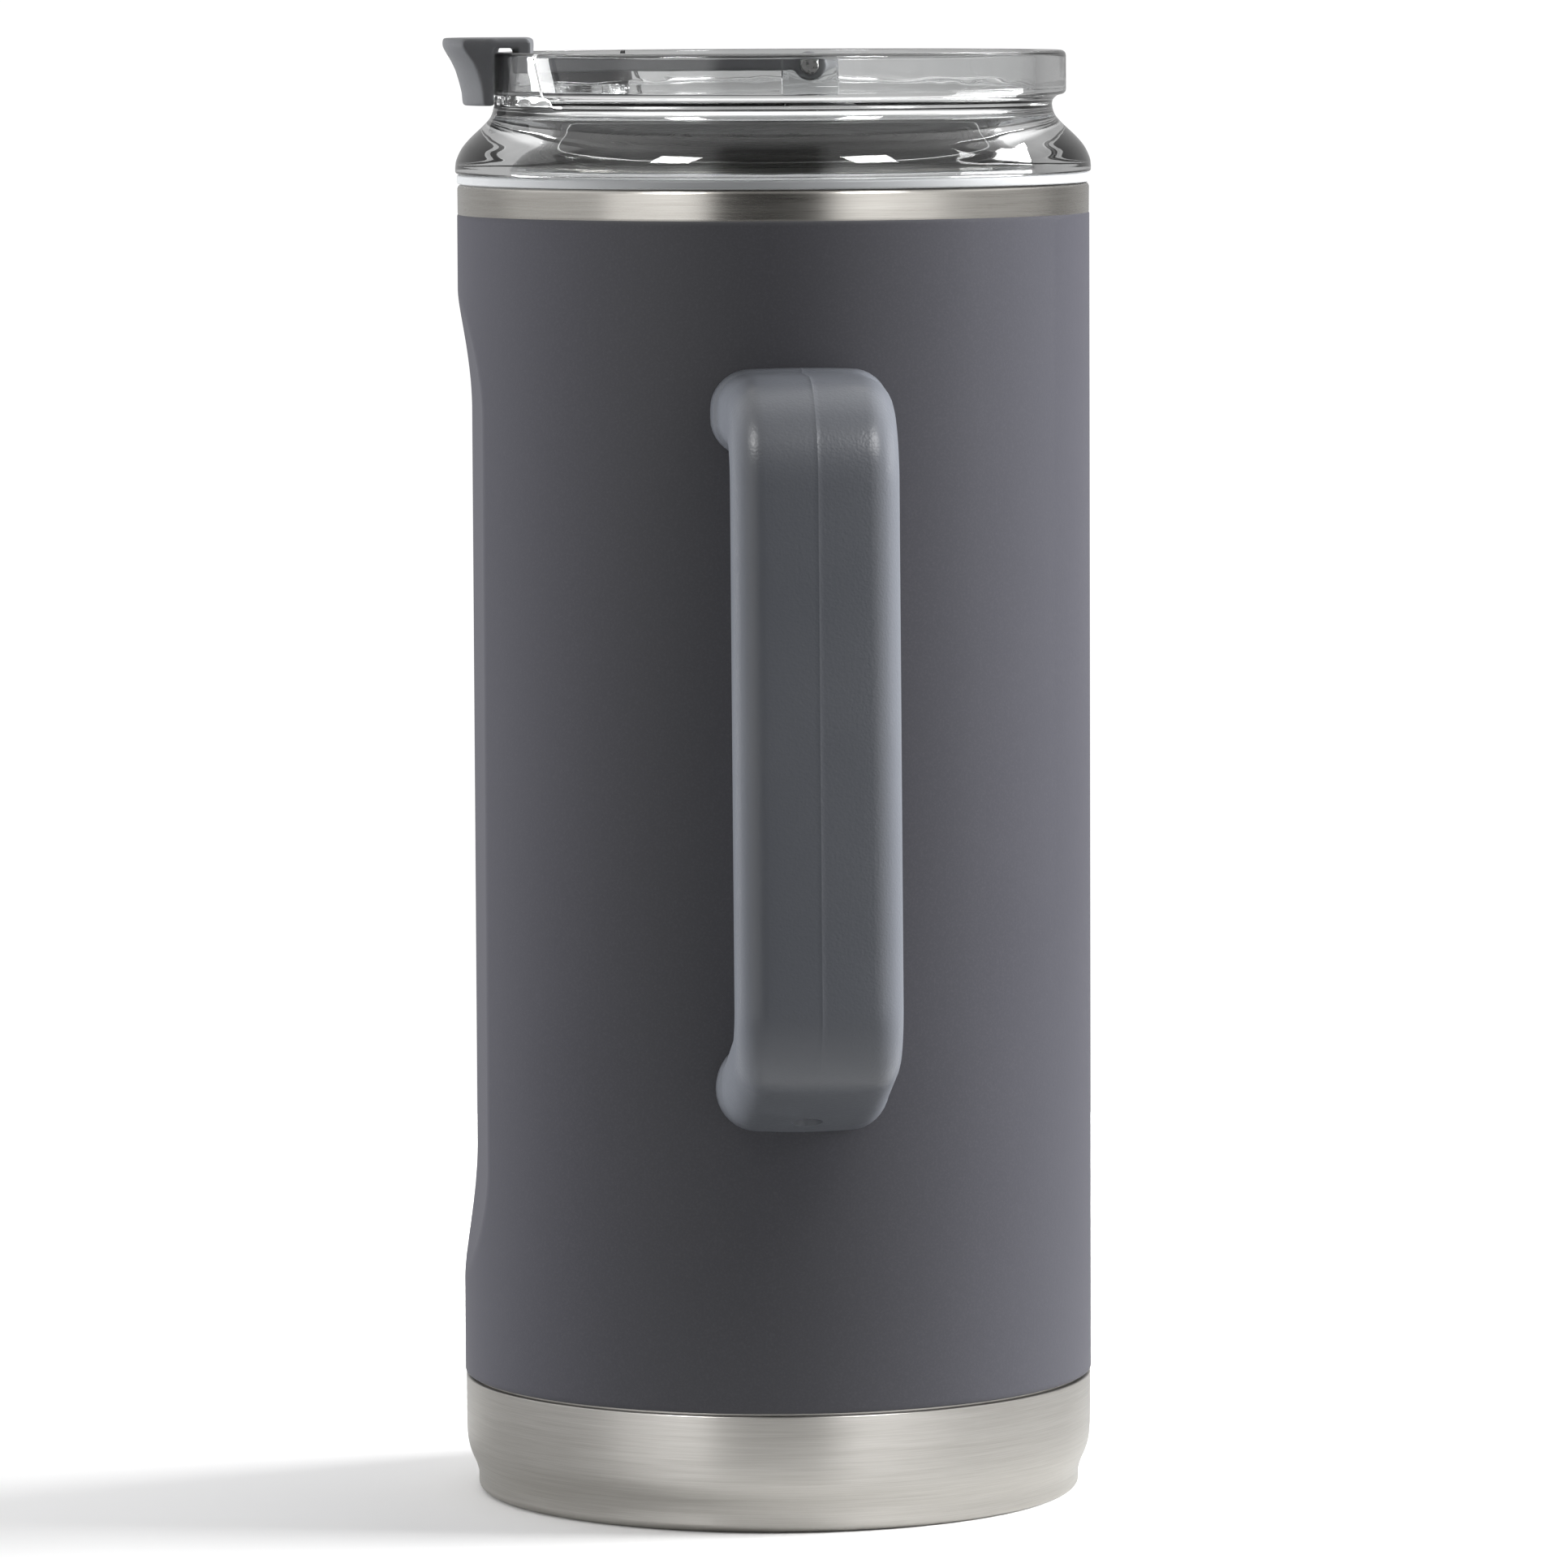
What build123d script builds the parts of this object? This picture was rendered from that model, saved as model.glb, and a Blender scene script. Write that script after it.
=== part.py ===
from build123d import *
import math
import os

os.makedirs("parts", exist_ok=True)

# Insulated growler: a double-walled steel vessel with a side handle and a clear
# screw lid that carries a flip cap. Millimetres, +Z up, origin in the middle of
# the foot ring, on the surface the growler stands on. The handle points to -Y and
# the flat panel faces -X.

# ---------------------------------------------------------------- vessel
BODY_R = 57.0  # outside radius of the coated shell (114 mm across)
WALL = 0.8  # sheet thickness of the shell and of the liner
SHELL_Z0 = 21.6  # lower edge of the coated shell
SHELL_Z1 = 231.7  # upper edge of the coated shell
RIM_Z = 237.0  # top of the bare steel mouth rim
LINER_R = 52.2  # outside radius of the liner
LINER_Z0 = 9.0  # underside of the liner's floor
LINER_CORNER = 12.0  # radius between the liner's floor and wall
FOIL_R = 52.25  # inside radius of the copper foil
FOIL_T = 0.15
PANEL_U = 53.74  # distance of the pressed flat panel from the axis
PANEL_TOP = (217.0, 199.6)  # the panel's ramp starts and ends here, at the top
PANEL_BOTTOM = (39.8, 57.5)  # the same at the bottom

# ---------------------------------------------------------------- base
BASE_R = 56.85  # bare steel cup, a coat's thickness inside the shell
FOOT_R = 54.68
RECESS_Z = 3.0  # underside of the recessed floor inside the foot ring
DIMPLE_R = 5.5
DIMPLE_H = 1.2

# ---------------------------------------------------------------- screw thread
LEAD = 12.0  # rise per turn of the three-start thread
STARTS = 3
LINER_IN = LINER_R - WALL
PLUG_R = 49.9  # outside radius of the lid's threaded plug
THREAD_H = 1.0
THREAD_DEG = 20.0  # where the first start begins

# ---------------------------------------------------------------- lid
SPOUT_DEG = 165.0  # middle of the opening in the raised band, from +X
CAP_DEG = 175.3  # direction of the flip cap; it sits off the middle of that opening
PLUG_Z0 = 221.0
FLANGE_Z = 238.9
DECK_Z0 = 250.6
DECK_Z = 253.0
BAND_R = 52.85  # outside radius of the raised band
BAND_IN = 47.5
BAND_Z = 260.7
LIP_R = 50.2  # outside radius of the pouring lip in the band's opening
OPEN_TOP = 45.2  # half angle of the band's opening, at its top
OPEN_LOW = 49.7  # and at its foot
SPOUT_U = 34.0  # centre of the pouring hole
SPOUT_W = 18.0
SPOUT_D = 13.0
COLLAR_T = 1.5
COLLAR_Z = 254.6

# ---------------------------------------------------------------- flip cap
PIN_U = -6.6  # hinge pin, beyond the lid's axis
PIN_Z = 257.7
PIN_R = 1.6
PIN_RUN = 0.05  # running clearance of the cap on its pin
ARM_HALF = 12.0
EAR_GAP = 0.4
EAR_T = 3.6
EAR_HALF = 5.0
EAR_TOP = 260.1
ARM_Z0 = 256.6
ARM_Z1 = 259.7
HEAD_Z0 = 261.5
HEAD_Z1 = 263.4
HEAD_HALF = 12.1
LEG_IN = 44.8
LEG_OUT = 46.9
TAB_IN = 51.0

# ---------------------------------------------------------------- handle
GRIP_W = 29.0
GRIP_T = 14.0
GRIP_EDGE = 6.0
ROOT_TOP_Z = 198.3
ROOT_LOW_Z = 79.1
GRIP_TOP_R = 84.0  # centre line of the grip at its top
GRIP_LOW_R = 89.2  # and at its bottom
LOW_CORNER_Z = 90.4
SCREW_R = 64.0  # distance of the handle screw from the growler's axis

su, cu = math.sin(math.radians(CAP_DEG)), math.cos(math.radians(CAP_DEG))
U = Vector(cu, su, 0)  # towards the thumb tab
C = Vector(-su, cu, 0)  # along the hinge pin


def bulge(a, b, c):
    """Middle of the arc from a to b about centre c, for the rounded corners of a profile."""
    r = math.dist(a, c)
    mx, my = (a[0] + b[0]) / 2 - c[0], (a[1] + b[1]) / 2 - c[1]
    k = r / math.hypot(mx, my)
    return (c[0] + mx * k, c[1] + my * k)


def lid_plane(z):
    """Horizontal plane of the lid at height z: local x towards the thumb tab, y along the pin."""
    return Plane(origin=(0, 0, z), x_dir=U, z_dir=(0, 0, 1))


def side_plane(offset=0.0):
    """Upright plane of the lid through the thumb tab: local x towards the tab, y up."""
    return Plane(origin=C * offset, x_dir=U, z_dir=U.cross(Vector(0, 0, 1)))


# ================================================================ outer shell
def panel_profile(shift):
    """Side profile of the press tool that flattens the shell, on the XZ plane."""
    x1, x2 = -(BODY_R + 0.4) + shift, -PANEL_U + shift
    (t0, t1), (b0, b1) = PANEL_TOP, PANEL_BOTTOM
    with BuildLine() as line:
        Spline((x1, t0 + 1.6), (x2, t1 - 4), tangents=((0.25, -1), (0, -1)))
        Line((x2, t1 - 4), (x2, b1 + 4))
        Spline((x2, b1 + 4), (x1, b0 - 1.6), tangents=((0, -1), (-0.25, -1)))
        Line((x1, b0 - 1.6), (-70, b0 - 1.6))
        Line((-70, b0 - 1.6), (-70, t0 + 1.6))
        Line((-70, t0 + 1.6), (x1, t0 + 1.6))
    return line.line


with BuildPart() as outer_void:
    with BuildSketch(Plane.XY.offset(SHELL_Z0 - 1)):
        Circle(BODY_R - WALL)
    extrude(amount=SHELL_Z1 - SHELL_Z0 + 2)
    with BuildSketch(Plane.XZ):
        with BuildLine():
            add(panel_profile(WALL))
        make_face()
    extrude(amount=40, both=True, mode=Mode.SUBTRACT)

with BuildPart() as outer_shell:
    with BuildSketch(Plane.XY.offset(SHELL_Z0)):
        Circle(BODY_R)
    extrude(amount=SHELL_Z1 - SHELL_Z0)
    with BuildSketch(Plane.XZ):
        with BuildLine():
            add(panel_profile(0))
        make_face()
    extrude(amount=40, both=True, mode=Mode.SUBTRACT)
    add(outer_void.part, mode=Mode.SUBTRACT)

# ================================================================ mouth rim
# Bare steel band: it carries on the shell's line, turns in over the mouth, and has
# a collar that stands inside the shell where the two are welded.
with BuildPart() as rim_band:
    with BuildSketch(Plane.XZ):
        with BuildLine():
            Polyline(
                (BODY_R - WALL - 0.8, 226.0),
                (BODY_R - WALL - 0.05, 226.0),
                (BODY_R - WALL - 0.05, SHELL_Z1 + 0.05),
                (BODY_R - 0.05, SHELL_Z1 + 0.05),
                (BODY_R - 0.05, RIM_Z - 0.9),
            )
            ThreePointArc((BODY_R - 0.05, RIM_Z - 0.9), bulge((BODY_R - 0.05, RIM_Z - 0.9), (BODY_R - 0.95, RIM_Z), (BODY_R - 0.95, RIM_Z - 0.9)), (BODY_R - 0.95, RIM_Z))
            Polyline(
                (BODY_R - 0.95, RIM_Z),
                (LINER_IN + 0.4, RIM_Z),
                (LINER_IN + 0.05, RIM_Z - 0.4),
                (LINER_IN + 0.05, RIM_Z - WALL),
                (BODY_R - WALL - 0.8, RIM_Z - WALL),
                (BODY_R - WALL - 0.8, 226.0),
            )
        make_face()
    revolve(axis=Axis.Z)

# ================================================================ base cup
cup_curve = [
    (FOOT_R, 3.2),
    (55.21, 5.0),
    (55.95, 6.65),
    (56.54, 8.6),
    (BASE_R, 13.0),
]
with BuildPart() as base_cup:
    with BuildSketch(Plane.XZ):
        with BuildLine():
            Polyline((0, RECESS_Z + DIMPLE_H), (DIMPLE_R, RECESS_Z + DIMPLE_H), (DIMPLE_R + 1, RECESS_Z))
            Polyline((DIMPLE_R + 1, RECESS_Z), (44.6, RECESS_Z), (47.2, 0.4), (47.8, 0), (53.2, 0))
            ThreePointArc((53.2, 0), bulge((53.2, 0), (FOOT_R, 1.48), (53.2, 1.48)), (FOOT_R, 1.48))
            Line((FOOT_R, 1.48), cup_curve[0])
            Spline(*cup_curve, tangents=((0, 1), (0, 1)))
            Polyline(
                cup_curve[-1],
                (BASE_R, 20.9),
                (BASE_R - 0.4, 21.2),
                (56.1, 21.2),
                (56.1, 27.0),
                (55.3, 27.0),
                (55.3, 20.5),
                (BASE_R - WALL, 20.0),
                (BASE_R - WALL, 13.0),
            )
            Spline(
                (BASE_R - WALL, 13.0),
                (55.7, 8.7),
                (54.5, 5.5),
                (FOOT_R - WALL, 3.4),
                tangents=((0, -1), (0, -1)),
            )
            Polyline((FOOT_R - WALL, 3.4), (FOOT_R - WALL, 1.7), (53.0, 0.85), (48.2, 0.85))
            Polyline((48.2, 0.85), (45.1, RECESS_Z + WALL), (DIMPLE_R + 1.3, RECESS_Z + WALL))
            Polyline(
                (DIMPLE_R + 1.3, RECESS_Z + WALL),
                (DIMPLE_R + 0.3, RECESS_Z + DIMPLE_H + WALL),
                (0, RECESS_Z + DIMPLE_H + WALL),
                (0, RECESS_Z + DIMPLE_H),
            )
        make_face()
    revolve(axis=Axis.Z)
    with Locations((0, 0, RECESS_Z + DIMPLE_H)):
        Cylinder(1.2, 4, mode=Mode.SUBTRACT)

# Thin plate that hides the seal in the recess of the base.
with BuildPart() as bottom_cover:
    with BuildSketch(Plane.XY.offset(RECESS_Z - 0.65)):
        Circle(40.0)
    extrude(amount=0.6)
    fillet(bottom_cover.edges().group_by(Axis.Z)[0], 0.25)

# Solder glass bead that closes the evacuation hole.
with BuildPart() as vacuum_seal:
    with BuildSketch(Plane.XZ):
        with BuildLine():
            z = RECESS_Z + DIMPLE_H
            Polyline((0, z - 1.0), (3.2, z - 1.0), (4.0, z - 0.5), (4.0, z), (1.15, z), (1.15, z + WALL), (0, z + WALL), (0, z - 1.0))
        make_face()
    revolve(axis=Axis.Z)

# Getter capsule, spot welded on the floor of the vacuum gap.
with BuildPart() as getter:
    with BuildSketch(Plane.XY.offset(RECESS_Z + WALL)):
        with Locations((22, 0)):
            Circle(6.0)
    extrude(amount=1.6)
    fillet(getter.edges().group_by(Axis.Z)[-1], 0.5)

# ================================================================ liner
# One start of the thread in the mouth.
with BuildPart() as mouth_rib:
    with BuildLine(Plane.XY.offset(226.0)) as rib_line:
        Helix(LEAD, 7.0, LINER_IN)
    with BuildSketch(Plane(origin=rib_line.line @ 0, x_dir=(1, 0, 0), z_dir=rib_line.line % 0)):
        with BuildLine():
            Polyline((0.4, -0.8), (0, -0.8), (-THREAD_H, -0.4), (-THREAD_H, 0.4), (0, 0.8), (0.4, 0.8), (0.4, -0.8))
        make_face()
    sweep(path=rib_line.line, is_frenet=True)

with BuildPart() as inner_vessel:
    with BuildSketch(Plane.XZ):
        with BuildLine():
            rc = LINER_CORNER
            Line((0, LINER_Z0), (LINER_R - rc, LINER_Z0))
            ThreePointArc((LINER_R - rc, LINER_Z0), bulge((LINER_R - rc, LINER_Z0), (LINER_R, LINER_Z0 + rc), (LINER_R - rc, LINER_Z0 + rc)), (LINER_R, LINER_Z0 + rc))
            Polyline(
                (LINER_R, LINER_Z0 + rc),
                (LINER_R, RIM_Z - WALL - 0.05),
                (LINER_IN, RIM_Z - WALL - 0.05),
                (LINER_IN, LINER_Z0 + rc),
            )
            ThreePointArc((LINER_IN, LINER_Z0 + rc), bulge((LINER_IN, LINER_Z0 + rc), (LINER_R - rc, LINER_Z0 + WALL), (LINER_R - rc, LINER_Z0 + rc)), (LINER_R - rc, LINER_Z0 + WALL))
            Polyline((LINER_R - rc, LINER_Z0 + WALL), (0, LINER_Z0 + WALL), (0, LINER_Z0))
        make_face()
    revolve(axis=Axis.Z)
    # rolled thread, three ribs standing into the mouth
    for i in range(STARTS):
        add(mouth_rib.part, rotation=(0, 0, 360 / STARTS * i + THREAD_DEG))

# Copper foil wrapped round the liner, which turns heat back across the vacuum.
with BuildPart() as copper_foil:
    with BuildSketch(Plane.XY.offset(26.0)):
        Circle(FOIL_R + FOIL_T)
        Circle(FOIL_R, mode=Mode.SUBTRACT)
    extrude(amount=190.0)

# ================================================================ handle brackets
# Steel tongues welded to the shell: a hook plate at the top and a screw plate below.
BRACKET_TOP_Z = ROOT_TOP_Z
BRACKET_LOW_Z = 82.6
with BuildPart() as upper_bracket:
    with BuildSketch(Plane.XY.offset(BRACKET_TOP_Z - 1.0)):
        with Locations((0, -61.5)):
            Rectangle(12, 17)
    extrude(amount=2.0)
    with BuildSketch(Plane.XY.offset(BRACKET_TOP_Z - 1.0)):
        with Locations((0, -68.8)):
            Rectangle(12, 2.4)
    extrude(amount=4.2)
    with BuildSketch(Plane.XY.offset(BRACKET_TOP_Z - 4.5)):
        Circle(BODY_R + 1.4)
        with Locations((0, 50)):
            Rectangle(140, 180, mode=Mode.SUBTRACT)
        with Locations((-50, 0), (50, 0)):
            Rectangle(80, 160, mode=Mode.SUBTRACT)
    extrude(amount=9.0)
    with BuildSketch(Plane.XY.offset(150)):
        Circle(BODY_R + 0.02)
    extrude(amount=80, mode=Mode.SUBTRACT)

with BuildPart() as lower_bracket:
    with BuildSketch(Plane.XY.offset(BRACKET_LOW_Z)):
        with Locations((0, -61.0)):
            Rectangle(12, 16)
    extrude(amount=2.0)
    with BuildSketch(Plane.XY.offset(BRACKET_LOW_Z - 3.5)):
        Circle(BODY_R + 1.4)
        with Locations((0, 50)):
            Rectangle(140, 180, mode=Mode.SUBTRACT)
        with Locations((-50, 0), (50, 0)):
            Rectangle(80, 160, mode=Mode.SUBTRACT)
    extrude(amount=9.0)
    with BuildSketch(Plane.XY.offset(40)):
        Circle(BODY_R + 0.02)
    extrude(amount=80, mode=Mode.SUBTRACT)
    with Locations((0, -SCREW_R, BRACKET_LOW_Z + 1)):
        Cylinder(1.65, 6, mode=Mode.SUBTRACT)

with BuildPart() as bracket_nut:
    with BuildSketch(Plane.XY.offset(BRACKET_LOW_Z + 2.0)):
        with Locations((0, -SCREW_R)):
            RegularPolygon(3.17, 6)
            Circle(1.52, mode=Mode.SUBTRACT)
    extrude(amount=2.4)

# ================================================================ handle
path_points = [
    (-50.0, ROOT_TOP_Z),
    (-GRIP_TOP_R, ROOT_TOP_Z),
    (-GRIP_LOW_R, LOW_CORNER_Z),
    (-50.0, ROOT_LOW_Z - (BODY_R - 50.0) * (LOW_CORNER_Z - ROOT_LOW_Z) / (GRIP_LOW_R - BODY_R)),
]
with BuildPart() as handle_grip:
    with BuildLine(Plane.YZ) as grip_line:
        FilletPolyline(*path_points, radius=[12.0, 9.5])
    with BuildSketch(Plane(origin=(0, -50.0, ROOT_TOP_Z), x_dir=(1, 0, 0), z_dir=(0, -1, 0))):
        RectangleRounded(GRIP_W, GRIP_T, GRIP_EDGE)
    sweep(path=grip_line.line)
    # flared roots that sit on the shell
    for zc, w, h in ((ROOT_TOP_Z, 31.4, 15.6), (ROOT_LOW_Z + 0.9, 30.6, 17.0)):
        with BuildSketch(Plane(origin=(0, -50.0, zc), x_dir=(1, 0, 0), z_dir=(0, -1, 0))):
            RectangleRounded(w, h, 7.2)
        extrude(amount=8.6)
        with BuildSketch(Plane(origin=(0, -58.6, zc), x_dir=(1, 0, 0), z_dir=(0, -1, 0))):
            RectangleRounded(w, h, 7.2)
        with BuildSketch(Plane(origin=(0, -61.4, zc), x_dir=(1, 0, 0), z_dir=(0, -1, 0))):
            RectangleRounded(w - 2.6, h - 2.6, 5.9)
        loft()
    # seat on the shell
    with BuildSketch(Plane.XY.offset(40)):
        Circle(BODY_R + 0.02)
    extrude(amount=190, mode=Mode.SUBTRACT)
    # pockets for the two brackets
    with BuildSketch(Plane.XY.offset(BRACKET_TOP_Z - 5.0)):
        with Locations((0, -52)):
            Rectangle(20.6, 14.0)
    extrude(amount=10.0, mode=Mode.SUBTRACT)
    with BuildSketch(Plane.XY.offset(BRACKET_TOP_Z - 1.3)):
        with Locations((0, -62)):
            Rectangle(12.6, 17)
    extrude(amount=5.0, mode=Mode.SUBTRACT)
    with BuildSketch(Plane.XY.offset(BRACKET_LOW_Z - 4.0)):
        with Locations((0, -52)):
            Rectangle(20.6, 14.0)
    extrude(amount=10.0, mode=Mode.SUBTRACT)
    with BuildSketch(Plane.XY.offset(BRACKET_LOW_Z - 0.2)):
        with Locations((0, -61.6)):
            Rectangle(12.6, 16)
    extrude(amount=4.9, mode=Mode.SUBTRACT)
    # screw hole with its recess
    with BuildSketch(Plane.XY.offset(60)):
        with Locations((0, -SCREW_R)):
            Circle(2.75)
    extrude(amount=18.0, mode=Mode.SUBTRACT)
    with BuildSketch(Plane.XY.offset(60)):
        with Locations((0, -SCREW_R)):
            Circle(1.7)
    extrude(amount=26.0, mode=Mode.SUBTRACT)

with BuildPart() as handle_screw:
    with BuildSketch(Plane.XY.offset(75.9)):
        with Locations((0, -SCREW_R)):
            Circle(2.6)
            RegularPolygon(1.3, 6, mode=Mode.SUBTRACT)
    extrude(amount=1.5)
    with BuildSketch(Plane.XY.offset(77.3)):
        with Locations((0, -SCREW_R)):
            Circle(2.6)
    extrude(amount=0.68)
    with BuildSketch(Plane.XY.offset(77.6)):
        with Locations((0, -SCREW_R)):
            Circle(1.48)
    extrude(amount=9.4)

# ================================================================ lid gasket
with BuildPart() as lid_gasket:
    with BuildSketch(Plane.XZ):
        with BuildLine():
            Line((50.8, 237.2), (56.35, 237.2))
            ThreePointArc((56.35, 237.2), (57.05, 237.95), (56.35, 238.7))
            Polyline((56.35, 238.7), (50.8, 238.7), (50.8, 237.2))
        make_face()
    revolve(axis=Axis.Z)

# ================================================================ lid
# Cutter that opens the raised band at the pouring lip; it is wider at its foot.
with BuildPart() as band_opening:
    for z, half in ((251.0, OPEN_LOW), (262.5, OPEN_TOP)):
        a = math.radians(SPOUT_DEG)
        with BuildSketch(Plane(origin=(0, 0, z), x_dir=(math.cos(a), math.sin(a), 0), z_dir=(0, 0, 1))):
            with BuildLine():
                s, c = math.sin(math.radians(half)), math.cos(math.radians(half))
                Polyline((0, 0), (90 * c, -90 * s), (130, 0), (90 * c, 90 * s), (0, 0))
            make_face()
    loft()
    with BuildSketch(Plane.XY.offset(250)):
        Circle(LIP_R)
    extrude(amount=15, mode=Mode.SUBTRACT)

# One start of the plug's thread.
with BuildPart() as plug_rib:
    with BuildLine(Plane.XY.offset(224.0)) as rib_line:
        Helix(LEAD, 8.0, PLUG_R)
    with BuildSketch(Plane(origin=rib_line.line @ 0, x_dir=(1, 0, 0), z_dir=rib_line.line % 0)):
        with BuildLine():
            Polyline((-0.45, -1.0), (THREAD_H, -0.4), (THREAD_H, 0.4), (-0.45, 1.0), (-0.45, -1.0))
        make_face()
    sweep(path=rib_line.line, is_frenet=True)

with BuildPart() as lid_body:
    with BuildSketch(Plane.XZ):
        with BuildLine():
            Line((0, DECK_Z0), (0, DECK_Z))
            Line((0, DECK_Z), (BAND_IN - 1.0, DECK_Z))
            ThreePointArc((BAND_IN - 1.0, DECK_Z), bulge((BAND_IN - 1.0, DECK_Z), (BAND_IN, DECK_Z + 1.0), (BAND_IN - 1.0, DECK_Z + 1.0)), (BAND_IN, DECK_Z + 1.0))
            Line((BAND_IN, DECK_Z + 1.0), (BAND_IN, BAND_Z - 0.8))
            ThreePointArc((BAND_IN, BAND_Z - 0.8), bulge((BAND_IN, BAND_Z - 0.8), (BAND_IN + 0.8, BAND_Z), (BAND_IN + 0.8, BAND_Z - 0.8)), (BAND_IN + 0.8, BAND_Z))
            Line((BAND_IN + 0.8, BAND_Z), (BAND_R - 1.0, BAND_Z))
            ThreePointArc((BAND_R - 1.0, BAND_Z), bulge((BAND_R - 1.0, BAND_Z), (BAND_R, BAND_Z - 1.0), (BAND_R - 1.0, BAND_Z - 1.0)), (BAND_R, BAND_Z - 1.0))
            Line((BAND_R, BAND_Z - 1.0), (BAND_R, 253.8))
            ThreePointArc((BAND_R, 253.8), bulge((BAND_R, 253.8), (BAND_R - 1.0, 252.8), (BAND_R - 1.0, 253.8)), (BAND_R - 1.0, 252.8))
            Line((BAND_R - 1.0, 252.8), (51.2, 252.6))
            Spline(
                (51.2, 252.6),
                (50.46, 251.9),
                (50.3, 251.0),
                (50.46, 250.1),
                (50.9, 249.0),
                (52.06, 247.65),
                (54.54, 245.3),
                (56.0, 243.6),
                (56.87, 241.95),
                (57.3, 239.9),
                tangents=((-1, -0.3), (0.05, -1)),
            )
            ThreePointArc((57.3, 239.9), bulge((57.3, 239.9), (56.3, FLANGE_Z), (56.3, FLANGE_Z + 1.0)), (56.3, FLANGE_Z))
            Polyline(
                (56.3, FLANGE_Z),
                (PLUG_R + 0.6, FLANGE_Z),
                (PLUG_R, FLANGE_Z - 0.6),
                (PLUG_R, PLUG_Z0 + 0.8),
                (PLUG_R - 0.8, PLUG_Z0),
                (47.9, PLUG_Z0),
                (47.5, PLUG_Z0 + 0.5),
                (47.5, DECK_Z0 - 4.0),
            )
            ThreePointArc((47.5, DECK_Z0 - 4.0), bulge((47.5, DECK_Z0 - 4.0), (43.5, DECK_Z0), (43.5, DECK_Z0 - 4.0)), (43.5, DECK_Z0))
            Line((43.5, DECK_Z0), (0, DECK_Z0))
        make_face()
    revolve(axis=Axis.Z)
    add(band_opening.part, mode=Mode.SUBTRACT)
    # collar round the pouring hole, which the stopper closes
    with BuildSketch(lid_plane(DECK_Z - 0.5)):
        with Locations((SPOUT_U, 0)):
            SlotOverall(SPOUT_W + 2 * COLLAR_T, SPOUT_D + 2 * COLLAR_T, rotation=90)
    extrude(amount=COLLAR_Z - DECK_Z + 0.5)
    with BuildSketch(lid_plane(240)):
        with Locations((SPOUT_U, 0)):
            SlotOverall(SPOUT_W, SPOUT_D, rotation=90)
    extrude(amount=18, mode=Mode.SUBTRACT)
    # ears of the hinge
    for side in (-1, 1):
        start = ARM_HALF + EAR_GAP if side > 0 else -(ARM_HALF + EAR_GAP + EAR_T)
        with BuildSketch(side_plane(start + EAR_T)):
            with BuildLine():
                x0, x1, zt = PIN_U - EAR_HALF, PIN_U + EAR_HALF, EAR_TOP
                Polyline((x0, DECK_Z - 0.4), (x0, zt - 2.6))
                ThreePointArc((x0, zt - 2.6), bulge((x0, zt - 2.6), (x0 + 2.6, zt), (x0 + 2.6, zt - 2.6)), (x0 + 2.6, zt))
                Line((x0 + 2.6, zt), (x1 - 1.6, zt))
                ThreePointArc((x1 - 1.6, zt), bulge((x1 - 1.6, zt), (x1, zt - 1.6), (x1 - 1.6, zt - 1.6)), (x1, zt - 1.6))
                Polyline((x1, zt - 1.6), (x1, DECK_Z - 0.4), (x0, DECK_Z - 0.4))
            make_face()
        extrude(amount=EAR_T)
    with BuildSketch(side_plane(25)):
        with Locations((PIN_U, PIN_Z)):
            Circle(PIN_R + 0.01)
    extrude(amount=50, mode=Mode.SUBTRACT)
    # thread of the plug: three ribs half a pitch away from those of the mouth
    for i in range(STARTS):
        add(plug_rib.part, rotation=(0, 0, 360 / STARTS * i + THREAD_DEG))

with BuildPart() as hinge_pin:
    half = ARM_HALF + EAR_GAP + EAR_T
    with BuildSketch(side_plane(half)):
        with Locations((PIN_U, PIN_Z)):
            Circle(PIN_R)
    extrude(amount=2 * half)
    chamfer(hinge_pin.edges(), 0.25)

# ================================================================ flip cap
def nose(z, u0, half, edge_u, inner_r):
    """Plan outline of the thumb tab at height z: rounded nose, short sides, hollow back."""
    with BuildSketch(lid_plane(z)) as sk:
        with BuildLine():
            iu = math.sqrt(inner_r**2 - half**2)
            ThreePointArc((edge_u, -half), (u0, 0), (edge_u, half))
            Line((edge_u, half), (iu, half))
            ThreePointArc((iu, half), (inner_r, 0), (iu, -half))
            Line((iu, -half), (edge_u, -half))
        make_face()
    return sk.sketch


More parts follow.
